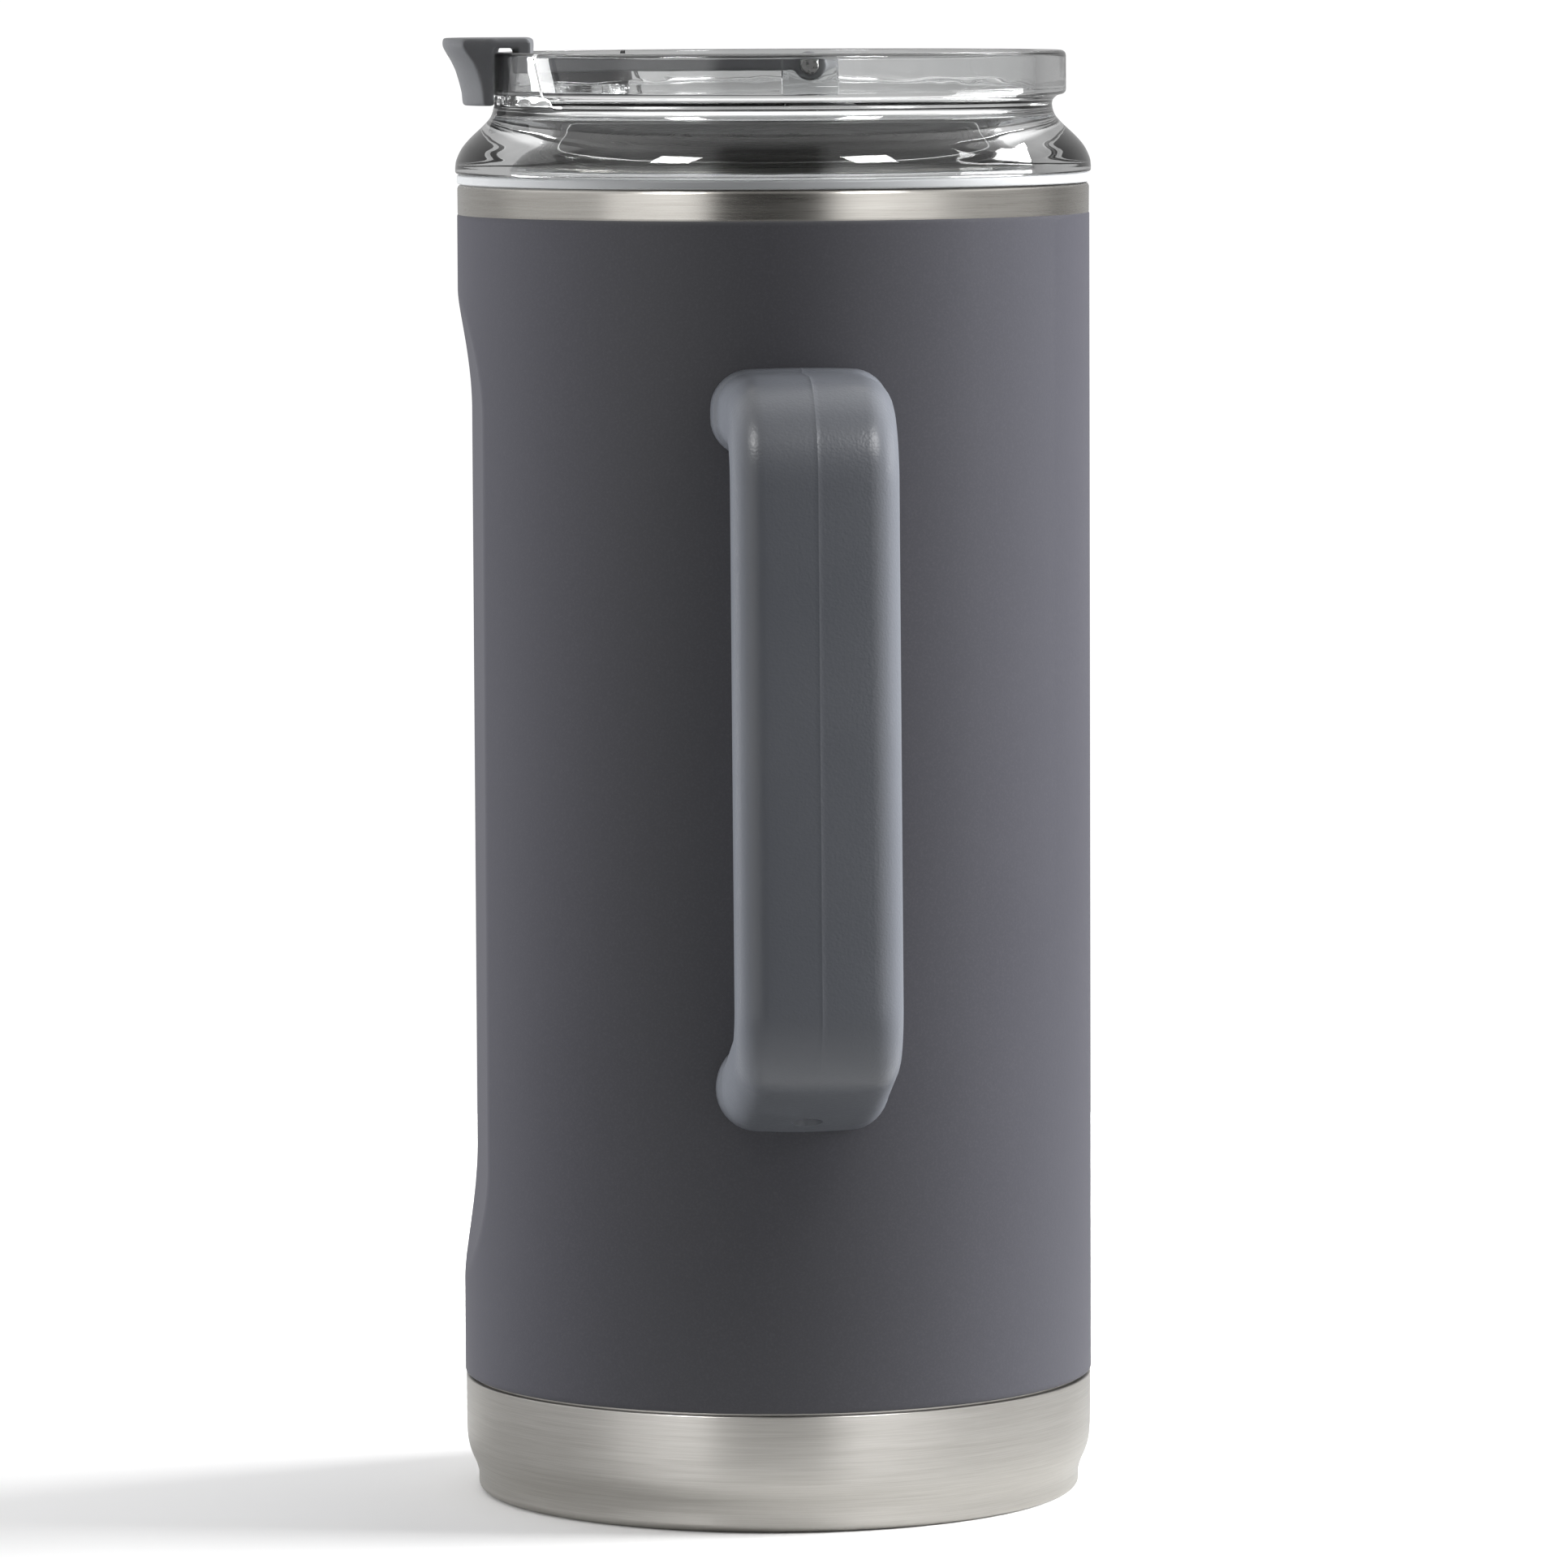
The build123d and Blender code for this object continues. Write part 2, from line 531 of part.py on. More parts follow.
with BuildPart() as flip_cap:
    # thumb tab hanging outside the lip
    loft(
        [
            nose(251.0, 55.9, 11.2, 51.7, TAB_IN),
            nose(255.5, 56.6, 11.4, 52.2, TAB_IN),
            nose(259.2, 57.9, 11.7, 53.6, TAB_IN),
            nose(HEAD_Z0 + 0.4, 59.2, HEAD_HALF, 55.2, TAB_IN),
        ]
    )
    # head plate over the lip, with the leg inside it
    extrude(nose(HEAD_Z0, 59.5, HEAD_HALF, 55.4, LEG_IN), amount=HEAD_Z1 - HEAD_Z0)
    with BuildSketch(lid_plane(ARM_Z0)):
        with BuildLine():
            iu, ou = math.sqrt(LEG_IN**2 - HEAD_HALF**2), math.sqrt(LEG_OUT**2 - HEAD_HALF**2)
            ThreePointArc((ou, -HEAD_HALF), (LEG_OUT, 0), (ou, HEAD_HALF))
            Line((ou, HEAD_HALF), (iu, HEAD_HALF))
            ThreePointArc((iu, HEAD_HALF), (LEG_IN, 0), (iu, -HEAD_HALF))
            Line((iu, -HEAD_HALF), (ou, -HEAD_HALF))
        make_face()
    extrude(amount=HEAD_Z0 + 0.5 - ARM_Z0)
    # arm from the leg to the hinge
    with BuildSketch(lid_plane(ARM_Z0)):
        with BuildLine():
            iu = math.sqrt((LEG_IN + 0.8) ** 2 - ARM_HALF**2)
            ThreePointArc((iu, -ARM_HALF), (LEG_IN + 0.8, 0), (iu, ARM_HALF))
            Polyline((iu, ARM_HALF), (PIN_U, ARM_HALF), (PIN_U, -ARM_HALF), (iu, -ARM_HALF))
        make_face()
    extrude(amount=ARM_Z1 - ARM_Z0)
    # hinge barrel
    with BuildSketch(side_plane(ARM_HALF)):
        with Locations((PIN_U, PIN_Z)):
            Circle(2.9)
    extrude(amount=2 * ARM_HALF)
    with BuildSketch(side_plane(ARM_HALF + 2)):
        with Locations((PIN_U, PIN_Z)):
            Circle(PIN_R + PIN_RUN)
    extrude(amount=2 * ARM_HALF + 4, mode=Mode.SUBTRACT)
    # socket for the stopper's stem
    with BuildSketch(lid_plane(ARM_Z0 - 0.5)):
        with Locations((SPOUT_U, 0)):
            SlotOverall(14.2, 8.2, rotation=90)
    extrude(amount=2.0, mode=Mode.SUBTRACT)

# Soft stopper: a pad that lies on the collar, and a stem that holds it in the cap.
with BuildPart() as cap_stopper:
    with BuildSketch(lid_plane(COLLAR_Z + 0.2)):
        with Locations((SPOUT_U, 0)):
            SlotOverall(SPOUT_W + 2 * COLLAR_T + 1, SPOUT_D + 2 * COLLAR_T + 1, rotation=90)
    extrude(amount=ARM_Z0 - COLLAR_Z - 0.22)
    with BuildSketch(lid_plane(ARM_Z0 - 0.1)):
        with Locations((SPOUT_U, 0)):
            SlotOverall(14.0, 8.0, rotation=90)
    extrude(amount=1.5)

# ================================================================ export
pieces = {
    "outer_shell": outer_shell,
    "rim_band": rim_band,
    "base_cup": base_cup,
    "bottom_cover": bottom_cover,
    "vacuum_seal": vacuum_seal,
    "getter": getter,
    "inner_vessel": inner_vessel,
    "copper_foil": copper_foil,
    "upper_bracket": upper_bracket,
    "lower_bracket": lower_bracket,
    "bracket_nut": bracket_nut,
    "handle_grip": handle_grip,
    "handle_screw": handle_screw,
    "lid_gasket": lid_gasket,
    "lid_body": lid_body,
    "hinge_pin": hinge_pin,
    "flip_cap": flip_cap,
    "cap_stopper": cap_stopper,
}
for name, piece in pieces.items():
    piece.part.label = name
    export_step(piece.part, f"parts/{name}.step")
    print(name, len(piece.part.solids()), round(piece.part.volume), piece.part.is_valid)
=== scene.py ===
import math

import bmesh
import bpy
import numpy as np
from mathutils import Matrix, Vector


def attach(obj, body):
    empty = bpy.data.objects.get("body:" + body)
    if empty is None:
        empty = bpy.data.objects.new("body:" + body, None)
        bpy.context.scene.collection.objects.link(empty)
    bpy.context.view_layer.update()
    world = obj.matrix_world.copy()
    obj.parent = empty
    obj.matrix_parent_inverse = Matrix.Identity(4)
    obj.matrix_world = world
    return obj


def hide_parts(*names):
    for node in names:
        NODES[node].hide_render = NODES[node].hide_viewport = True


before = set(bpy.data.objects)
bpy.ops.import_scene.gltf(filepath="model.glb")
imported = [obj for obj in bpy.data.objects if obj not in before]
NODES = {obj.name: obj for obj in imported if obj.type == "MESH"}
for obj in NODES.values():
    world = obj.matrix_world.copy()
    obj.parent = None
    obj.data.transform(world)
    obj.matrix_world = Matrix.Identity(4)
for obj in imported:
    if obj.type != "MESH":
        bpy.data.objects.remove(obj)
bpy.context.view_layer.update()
MM = 0.001

# ------------------------------------------------------------------ dimensions, mm
BODY_R = 57.0
SHELL_Z0, SHELL_Z1 = 21.6, 231.7
RIM_Z = 237.0
LINER_IN = 51.4
PANEL_U = 53.74
SPOUT = math.radians(165.0)
CAP_A = math.radians(175.3)
UX, UY = math.cos(CAP_A), math.sin(CAP_A)
CX, CY = -math.sin(CAP_A), math.cos(CAP_A)
PIN_U, PIN_Z = -6.6, 257.7


# ================================================================== mesh helpers
def new_object(name, verts, faces, material, body, replaces=(), angle=32.0, recalc=True):
    """A smooth mesh piece from points in mm, with edges sharper than angle kept crisp."""
    mesh = bpy.data.meshes.new(name)
    mesh.from_pydata([tuple(c * MM for c in v) for v in verts], [], faces)
    mesh.validate()
    bm = bmesh.new()
    bm.from_mesh(mesh)
    bmesh.ops.remove_doubles(bm, verts=bm.verts, dist=1e-7)
    if recalc:
        bmesh.ops.recalc_face_normals(bm, faces=bm.faces)
    bm.to_mesh(mesh)
    bm.free()
    obj = bpy.data.objects.new(name, mesh)
    bpy.context.scene.collection.objects.link(obj)
    if material is not None:
        mesh.materials.append(material)
    if body is not None:
        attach(obj, body)
    if replaces:
        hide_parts(*replaces)
    crisp(obj, angle)
    return obj


def crisp(obj, angle):
    mesh = obj.data
    mesh.polygons.foreach_set("use_smooth", [True] * len(mesh.polygons))
    mesh.set_sharp_from_angle(angle=math.radians(angle))
    mesh.update()


def fillet(points, closed=True, step=9.0):
    """Polyline with its corners rounded: each point is (a, b) or (a, b, radius)."""
    pts = [np.array(p[:2], float) for p in points]
    rad = [p[2] if len(p) > 2 else 0.0 for p in points]
    n = len(pts)
    out = []
    for i in range(n):
        p, r = pts[i], rad[i]
        if r <= 0 or (not closed and i in (0, n - 1)):
            out.append(tuple(p))
            continue
        a, b = pts[i - 1] - p, pts[(i + 1) % n] - p
        la, lb = np.linalg.norm(a), np.linalg.norm(b)
        a, b = a / la, b / lb
        cos = float(np.clip(np.dot(a, b), -1, 1))
        half = math.acos(cos) / 2
        if math.pi - 2 * half < math.radians(2):
            out.append(tuple(p))
            continue
        t = min(r / math.tan(half), 0.49 * la, 0.49 * lb)
        r = t * math.tan(half)
        centre = p + (a + b) / np.linalg.norm(a + b) * (r / math.sin(half))
        v0, v1 = p + a * t - centre, p + b * t - centre
        turn = math.pi - 2 * half
        m = max(2, int(math.ceil(math.degrees(turn) / step)))
        ang0 = math.atan2(v0[1], v0[0])
        d = math.atan2(v0[0] * v1[1] - v0[1] * v1[0], float(np.dot(v0, v1)))
        for k in range(m + 1):
            q = ang0 + d * k / m
            out.append((centre[0] + r * math.cos(q), centre[1] + r * math.sin(q)))
    return out


def smooth_curve(points, n):
    """Centripetal Catmull-Rom curve through the points."""
    p = np.array(points, float)
    p = np.vstack([2 * p[0] - p[1], p, 2 * p[-1] - p[-2]])
    out = []
    for i in range(1, len(p) - 2):
        t = [0.0]
        for k in range(3):
            t.append(t[-1] + max(np.linalg.norm(p[i + k] - p[i + k - 1]), 1e-6) ** 0.5)
        for s in np.linspace(t[1], t[2], n, endpoint=False):
            a1 = (t[1] - s) / (t[1] - t[0]) * p[i - 1] + (s - t[0]) / (t[1] - t[0]) * p[i]
            a2 = (t[2] - s) / (t[2] - t[1]) * p[i] + (s - t[1]) / (t[2] - t[1]) * p[i + 1]
            a3 = (t[3] - s) / (t[3] - t[2]) * p[i + 1] + (s - t[2]) / (t[3] - t[2]) * p[i + 2]
            b1 = (t[2] - s) / (t[2] - t[0]) * a1 + (s - t[0]) / (t[2] - t[0]) * a2
            b2 = (t[3] - s) / (t[3] - t[1]) * a2 + (s - t[1]) / (t[3] - t[1]) * a3
            out.append(tuple((t[2] - s) / (t[2] - t[1]) * b1 + (s - t[1]) / (t[2] - t[1]) * b2))
    out.append(tuple(p[-2]))
    return out


def resample(points, n):
    """n points evenly spaced along a polyline."""
    p = np.array(points, float)
    d = np.concatenate([[0], np.cumsum(np.linalg.norm(np.diff(p, axis=0), axis=1))])
    s = np.linspace(0, d[-1], n)
    return [(float(np.interp(q, d, p[:, 0])), float(np.interp(q, d, p[:, 1]))) for q in s]


def lathe_data(profile, n=288, closed=True):
    """Vertices and faces of a revolved profile of (r, z) points in mm."""
    verts, rows = [], []
    for r, z in profile:
        if r < 1e-6:
            rows.append([len(verts)] * n)
            verts.append((0.0, 0.0, z))
        else:
            rows.append(list(range(len(verts), len(verts) + n)))
            for k in range(n):
                a = 2 * math.pi * k / n
                verts.append((r * math.cos(a), r * math.sin(a), z))
    faces = []
    count = len(profile)
    for i in range(count if closed else count - 1):
        a, b = rows[i], rows[(i + 1) % count]
        if a[0] == a[1] and b[0] == b[1]:
            continue
        for k in range(n):
            m = (k + 1) % n
            face = [a[k], a[m], b[m], b[k]]
            face = [v for j, v in enumerate(face) if v != face[j - 1]]
            if len(face) >= 3:
                faces.append(face)
    return verts, faces


def lathe(name, profile, material, body, replaces=(), n=288, closed=True, angle=32.0):
    verts, faces = lathe_data(profile, n, closed)
    return new_object(name, verts, faces, material, body, replaces, angle)


def lid_point(u, c, z):
    """A point of the lid: u towards the pouring lip, c along the hinge pin."""
    return (u * UX + c * CX, u * UY + c * CY, z)


def prism(outline, z0, z1, place=lid_point, top_round=0.0, bottom_round=0.0, steps=5):
    """Vertices and faces of an upright prism over an outline of (u, c), with rounded ends."""
    out = np.array(outline, float)
    n = len(out)
    # inward offset along vertex normals
    prev, nxt = np.roll(out, 1, axis=0), np.roll(out, -1, axis=0)
    e1, e2 = out - prev, nxt - out
    n1 = np.stack([-e1[:, 1], e1[:, 0]], 1) / np.linalg.norm(e1, axis=1)[:, None]
    n2 = np.stack([-e2[:, 1], e2[:, 0]], 1) / np.linalg.norm(e2, axis=1)[:, None]
    area = 0.5 * float(np.sum(out[:, 0] * nxt[:, 1] - nxt[:, 0] * out[:, 1]))
    m = n1 + n2
    m /= np.maximum(np.linalg.norm(m, axis=1)[:, None], 1e-9)
    m *= 1 if area > 0 else -1
    layers = [(z0 + bottom_round * (1 - math.cos(math.pi / 2 * k / steps)), bottom_round * (1 - math.sin(math.pi / 2 * k / steps))) for k in range(steps + 1)] if bottom_round else [(z0, 0.0)]
    tops = [(z1 - top_round * (1 - math.sin(math.pi / 2 * k / steps)), top_round * (1 - math.cos(math.pi / 2 * k / steps))) for k in range(steps + 1)] if top_round else [(z1, 0.0)]
    layers += tops
    verts = []
    for z, inset in layers:
        for p, d in zip(out, m):
            verts.append(place(p[0] + d[0] * inset, p[1] + d[1] * inset, z))
    faces = [list(range(n))[::-1]]
    for i in range(len(layers) - 1):
        for k in range(n):
            j = (k + 1) % n
            faces.append([i * n + k, i * n + j, (i + 1) * n + j, (i + 1) * n + k])
    faces.append([(len(layers) - 1) * n + k for k in range(n)])
    return verts, faces


def slot_outline(u0, length, width, n=18):
    """Outline of a slot with round ends: length along c, width along u."""
    r, s = width / 2, (length - width) / 2
    pts = []
    for k in range(n + 1):
        a = math.pi * k / n
        pts.append((u0 + r * math.cos(a), s + r * math.sin(a)))
    for k in range(n + 1):
        a = math.pi + math.pi * k / n
        pts.append((u0 + r * math.cos(a), -s + r * math.sin(a)))
    return pts


def bare(name, data):
    return new_object(name, data[0], data[1], None, None)


def boolean(obj, other, operation):
    """Applies one exact boolean to obj's mesh and removes the other object."""
    mod = obj.modifiers.new("cut", "BOOLEAN")
    mod.operation = operation
    mod.solver = "EXACT"
    mod.object = other
    deps = bpy.context.evaluated_depsgraph_get()
    deps.update()
    mesh = bpy.data.meshes.new_from_object(obj.evaluated_get(deps))
    obj.modifiers.clear()
    old = obj.data
    obj.data = mesh
    bpy.data.meshes.remove(old)
    bpy.data.objects.remove(other)
    return obj


# ================================================================== materials
class Tree:
    """A short way to write a node material."""

    def __init__(self, name):
        self.mat = bpy.data.materials.new(name)
        self.mat.use_nodes = True
        self.t = self.mat.node_tree
        self.bsdf = self.t.nodes["Principled BSDF"]
        self.coord = self.add("ShaderNodeTexCoord").outputs["Object"]

    def add(self, kind, **inputs):
        node = self.t.nodes.new(kind)
        for k, v in inputs.items():
            if k.startswith("_"):
                setattr(node, k[1:], v)
            else:
                self.put(node.inputs[k.replace("__", " ")], v)
        return node

    def put(self, socket, v):
        if isinstance(v, bpy.types.NodeSocket):
            self.t.links.new(v, socket)
        else:
            socket.default_value = v

    def math(self, op, a, b=0.0, clamp=False):
        node = self.t.nodes.new("ShaderNodeMath")
        node.operation = op
        node.use_clamp = clamp
        self.put(node.inputs[0], a)
        self.put(node.inputs[1], b)
        return node.outputs[0]

    def scaled(self, x, y, z):
        node = self.t.nodes.new("ShaderNodeVectorMath")
        node.operation = "MULTIPLY"
        self.put(node.inputs[0], self.coord)
        node.inputs[1].default_value = (x, y, z)
        return node.outputs[0]

    def noise(self, vector, scale, detail=2.0, rough=0.5):
        node = self.add("ShaderNodeTexNoise", Vector=vector, Scale=scale, Detail=detail, Roughness=rough)
        return node.outputs["Fac"]

    def remap(self, value, lo, hi, a=0.0, b=1.0):
        node = self.add("ShaderNodeMapRange", Value=value)
        node.inputs["From Min"].default_value = lo
        node.inputs["From Max"].default_value = hi
        node.inputs["To Min"].default_value = a
        node.inputs["To Max"].default_value = b
        return node.outputs["Result"]

    def mix(self, fac, a, b):
        node = self.t.nodes.new("ShaderNodeMix")
        node.data_type = "RGBA"
        self.put(node.inputs[0], fac)
        self.put(node.inputs[6], a)
        self.put(node.inputs[7], b)
        return node.outputs[2]

    def bump(self, height, strength, distance, normal=None):
        node = self.add("ShaderNodeBump", Height=height, Strength=strength, Distance=distance)
        if normal is not None:
            self.put(node.inputs["Normal"], normal)
        return node.outputs["Normal"]

    def xyz(self):
        node = self.add("ShaderNodeSeparateXYZ", Vector=self.coord)
        return node.outputs

    def done(self, **inputs):
        for k, v in inputs.items():
            self.put(self.bsdf.inputs[k.replace("__", " ")], v)
        return self.mat


def rgb(r, g, b):
    return (r, g, b, 1.0)


def powder_coat():
    m = Tree("powder_coat")
    cloud = m.noise(m.coord, 14.0, 3.0, 0.55)
    grain = m.noise(m.coord, 2600.0, 2.0, 0.6)
    orange = m.noise(m.coord, 900.0, 2.0, 0.5)
    x, y, z = m.xyz()
    # painted shade: the coat's colour is darkened in a 1 mm band at each of its two edges, along the seams with the
    # base and the rim
    low_seam_shade = m.remap(z, 0.0216, 0.0226, 1.0, 0.0)
    high_seam_shade = m.remap(z, 0.2307, 0.2317, 0.0, 1.0)
    edge = m.math("ADD", low_seam_shade, high_seam_shade, True)
    base = m.mix(m.remap(cloud, 0.3, 0.7), rgb(0.0435, 0.0435, 0.0535), rgb(0.0480, 0.0478, 0.0580))
    base = m.mix(m.remap(grain, 0.45, 0.75, 0.0, 0.35), base, rgb(0.082, 0.082, 0.093))
    # the painted seam shade is mixed into the coat colour at half strength
    base = m.mix(m.math("MULTIPLY", edge, 0.5), base, rgb(0.040, 0.040, 0.047))
    rough = m.remap(m.math("ADD", m.math("MULTIPLY", cloud, 0.5), m.math("MULTIPLY", grain, 0.5)), 0.3, 0.7, 0.50, 0.60)
    n = m.bump(orange, 0.20, 0.00006)
    n = m.bump(grain, 0.22, 0.00003, n)
    return m.done(Base__Color=base, Roughness=rough, Normal=n, IOR=1.5)


def brushed(name, base0, base1, rough0, rough1, strength, fine=9000.0, aniso=0.75):
    """Steel brushed round the upright axis."""
    m = Tree(name)
    x, y, z = m.xyz()
    r = m.math("SQRT", m.math("ADD", m.math("MULTIPLY", x, x), m.math("MULTIPLY", y, y)))
    across = m.math("ADD", m.math("MULTIPLY", z, 1.0), m.math("MULTIPLY", r, 1.0))
    vec = m.add("ShaderNodeCombineXYZ", X=m.math("MULTIPLY", x, 0.0090), Y=m.math("MULTIPLY", y, 0.0090), Z=across)
    streak = m.noise(vec.outputs[0], fine, 3.0, 0.62)
    vec2 = m.add("ShaderNodeCombineXYZ", X=m.math("MULTIPLY", x, 0.030), Y=m.math("MULTIPLY", y, 0.030), Z=across)
    broad = m.noise(vec2.outputs[0], 1500.0, 2.0, 0.5)
    cloud = m.noise(m.coord, 30.0, 2.0, 0.5)
    both = m.math("ADD", m.math("MULTIPLY", streak, 0.65), m.math("MULTIPLY", broad, 0.35))
    base = m.mix(m.remap(both, 0.3, 0.7), base0, base1)
    rough = m.remap(m.math("ADD", m.math("MULTIPLY", both, 0.7), m.math("MULTIPLY", cloud, 0.3)), 0.3, 0.7, rough0, rough1)
    n = m.bump(both, strength, 0.00002)
    tangent = m.t.nodes.new("ShaderNodeTangent")
    tangent.direction_type = "RADIAL"
    tangent.axis = "Z"
    return m.done(Base__Color=base, Roughness=rough, Normal=n, Metallic=1.0, Anisotropic=aniso, Anisotropic__Rotation=0.25, Tangent=tangent.outputs[0])


def moulded(name, c0, c1, rough0, rough1, pebble=0.35, scale=2300.0):
    """Moulded plastic with a pebbled grain."""
    m = Tree(name)
    cloud = m.noise(m.coord, 22.0, 3.0, 0.55)
    cells = m.add("ShaderNodeTexVoronoi", Vector=m.coord, Scale=scale)
    cells.feature = "SMOOTH_F1"
    skin = m.noise(m.coord, scale * 0.55, 3.0, 0.6)
    height = m.math("ADD", m.math("MULTIPLY", cells.outputs["Distance"], 0.6), m.math("MULTIPLY", skin, 0.7))
    base = m.mix(m.remap(cloud, 0.3, 0.7), c0, c1)
    rough = m.remap(m.math("ADD", m.math("MULTIPLY", cloud, 0.4), m.math("MULTIPLY", skin, 0.6)), 0.3, 0.7, rough0, rough1)
    n = m.bump(height, pebble, 0.00007)
    return m.done(Base__Color=base, Roughness=rough, Normal=n, IOR=1.5)


def clear():
    m = Tree("clear_plastic")
    flow = m.noise(m.scaled(1.0, 1.0, 3.0), 55.0, 2.0, 0.5)
    haze = m.noise(m.coord, 240.0, 3.0, 0.6)
    base = m.mix(haze, rgb(0.955, 0.965, 0.968), rgb(0.985, 0.99, 0.99))
    rough = m.remap(haze, 0.35, 0.75, 0.0, 0.035)
    n = m.bump(flow, 0.35, 0.00018)
    return m.done(Base__Color=base, Roughness=rough, Normal=n, IOR=1.5, Transmission__Weight=1.0)


def silicone(name, c0, c1, rough0, rough1, scatter=0.0):
    m = Tree(name)
    cloud = m.noise(m.coord, 60.0, 2.0, 0.5)
    grain = m.noise(m.coord, 1800.0, 2.0, 0.5)
    base = m.mix(cloud, c0, c1)
    rough = m.remap(grain, 0.3, 0.7, rough0, rough1)
    n = m.bump(grain, 0.15, 0.00004)
    mat = m.done(Base__Color=base, Roughness=rough, Normal=n, IOR=1.42)
    if scatter:
        m.bsdf.inputs["Subsurface Weight"].default_value = scatter
        m.bsdf.inputs["Subsurface Radius"].default_value = (0.002, 0.002, 0.002)
        m.bsdf.inputs["Subsurface Scale"].default_value = 1.0
    return mat


def plain_metal(name, c0, c1, rough0, rough1):
    m = Tree(name)
    cloud = m.noise(m.coord, 90.0, 3.0, 0.6)
    grain = m.noise(m.coord, 1500.0, 3.0, 0.6)
    base = m.mix(cloud, c0, c1)
    rough = m.remap(grain, 0.3, 0.7, rough0, rough1)
    n = m.bump(grain, 0.15, 0.00002)
    return m.done(Base__Color=base, Roughness=rough, Normal=n, Metallic=1.0)


COAT = powder_coat()
RIM_STEEL = brushed("brushed_rim", rgb(0.50, 0.475, 0.44), rgb(0.66, 0.64, 0.60), 0.22, 0.34, 0.35)
BASE_STEEL = brushed("brushed_base", rgb(0.54, 0.52, 0.49), rgb(0.70, 0.68, 0.65), 0.30, 0.42, 0.35)
# painted shade: the liner steel gets a darker colour than the rim steel, standing in for the shade inside the vessel
SHADED_LINER_STEEL = brushed("liner_steel", rgb(0.27, 0.265, 0.255), rgb(0.36, 0.355, 0.34), 0.24, 0.34, 0.2, 5000.0, 0.5)
GRIP = moulded("handle_plastic", rgb(0.114, 0.122, 0.140), rgb(0.126, 0.134, 0.152), 0.31, 0.39, 0.55)
CAP = moulded("cap_plastic", rgb(0.104, 0.107, 0.114), rgb(0.116, 0.119, 0.126), 0.36, 0.46, 0.22)
CLEAR = clear()
GASKET = silicone("gasket_silicone", rgb(0.38, 0.39, 0.40), rgb(0.43, 0.44, 0.45), 0.30, 0.42, 0.25)
STOPPER = silicone("stopper_silicone", rgb(0.030, 0.030, 0.034), rgb(0.040, 0.040, 0.044), 0.42, 0.55)
STEEL = plain_metal("bracket_steel", rgb(0.50, 0.50, 0.49), rgb(0.62, 0.61, 0.60), 0.22, 0.38)
COPPER = plain_metal("copper", rgb(0.78, 0.40, 0.26), rgb(0.86, 0.48, 0.33), 0.18, 0.30)
GETTER = plain_metal("getter_metal", rgb(0.36, 0.36, 0.37), rgb(0.46, 0.46, 0.46), 0.45, 0.60)
SEAL = silicone("seal_glass", rgb(0.05, 0.06, 0.07), rgb(0.09, 0.10, 0.11), 0.08, 0.16)

# ================================================================== coated shell
def hermite(p0, p1, t0, t1, n):
    """Points of the ramp between the round wall and the flat panel."""
    p0, p1, t0, t1 = (np.array(v, float) for v in (p0, p1, t0, t1))
    k = np.linalg.norm(p1 - p0)
    t0, t1 = t0 / np.linalg.norm(t0) * k, t1 / np.linalg.norm(t1) * k
    out = []
    for s in np.linspace(0, 1, n):
        h = (2 * s**3 - 3 * s**2 + 1, s**3 - 2 * s**2 + s, -2 * s**3 + 3 * s**2, s**3 - s**2)
        out.append(h[0] * p0 + h[1] * t0 + h[2] * p1 + h[3] * t1)
    return np.array(out)


ramp_low = hermite((57.4, 38.2), (PANEL_U, 61.5), (-0.25, 1), (0, 1), 60)
ramp_high = hermite((PANEL_U, 195.6), (57.4, 218.6), (0, 1), (0.25, 1), 60)
ramp = np.vstack([[[70, 20], [70, 37.9]], ramp_low, ramp_high, [[70, 218.9], [70, 240]]])


def panel_depth(z):
    return float(np.interp(z, ramp[:, 1], ramp[:, 0]))


def soft_min(a, b, k):
    h = max(0.0, min(1.0, 0.5 + 0.5 * (b - a) / k))
    return b * (1 - h) + a * h - k * h * (1 - h)


def wall_radius(angle, z, radius, shift):
    """Radius of the pressed wall: round, and flat on the -X side."""
    c = -math.cos(angle)
    if c < 0.6:
        return radius
    return soft_min(radius, (panel_depth(z) - shift) / c, 0.40)


def shell():
    angles = [math.radians(a) for a in np.concatenate([np.arange(-152, 152, 1.5), np.arange(152, 208, 0.4)])]
    zs = sorted(set([SHELL_Z0, SHELL_Z0 + 0.12, SHELL_Z0 + 0.35, SHELL_Z0 + 1.0, SHELL_Z1 - 1.0, SHELL_Z1 - 0.35, SHELL_Z1 - 0.12, SHELL_Z1]
                    + list(np.arange(37, 63.01, 0.8)) + list(np.arange(194, 220.01, 0.8)) + list(np.linspace(24, 36, 4))
                    + list(np.linspace(64, 193, 34)) + list(np.linspace(221, 230, 3))))
    outer, inner = [], []
    for z in zs:
        # the coat rolls over at both edges
        e = min(z - SHELL_Z0, SHELL_Z1 - z)
        roll = 0.35 - math.sqrt(max(0.35**2 - max(0.35 - e, 0) ** 2, 0)) if e < 0.35 else 0.0
        outer.append((z, BODY_R - min(roll, 0.3), 0.0))
    for z in zs[::-1]:
        inner.append((z, BODY_R - 0.8, 0.8))
    rows = outer + inner
    verts, faces = [], []
    n = len(angles)
    for z, radius, shift in rows:
        for a in angles:
            r = wall_radius(a, z, radius, shift)
            verts.append((r * math.cos(a), r * math.sin(a), z))
    for i in range(len(rows)):
        j = (i + 1) % len(rows)
        for k in range(n):
            m = (k + 1) % n
            faces.append([i * n + k, i * n + m, j * n + m, j * n + k])
    return new_object("coated_shell", verts, faces, COAT, "vessel", ["outer_shell"], 50)


shell()

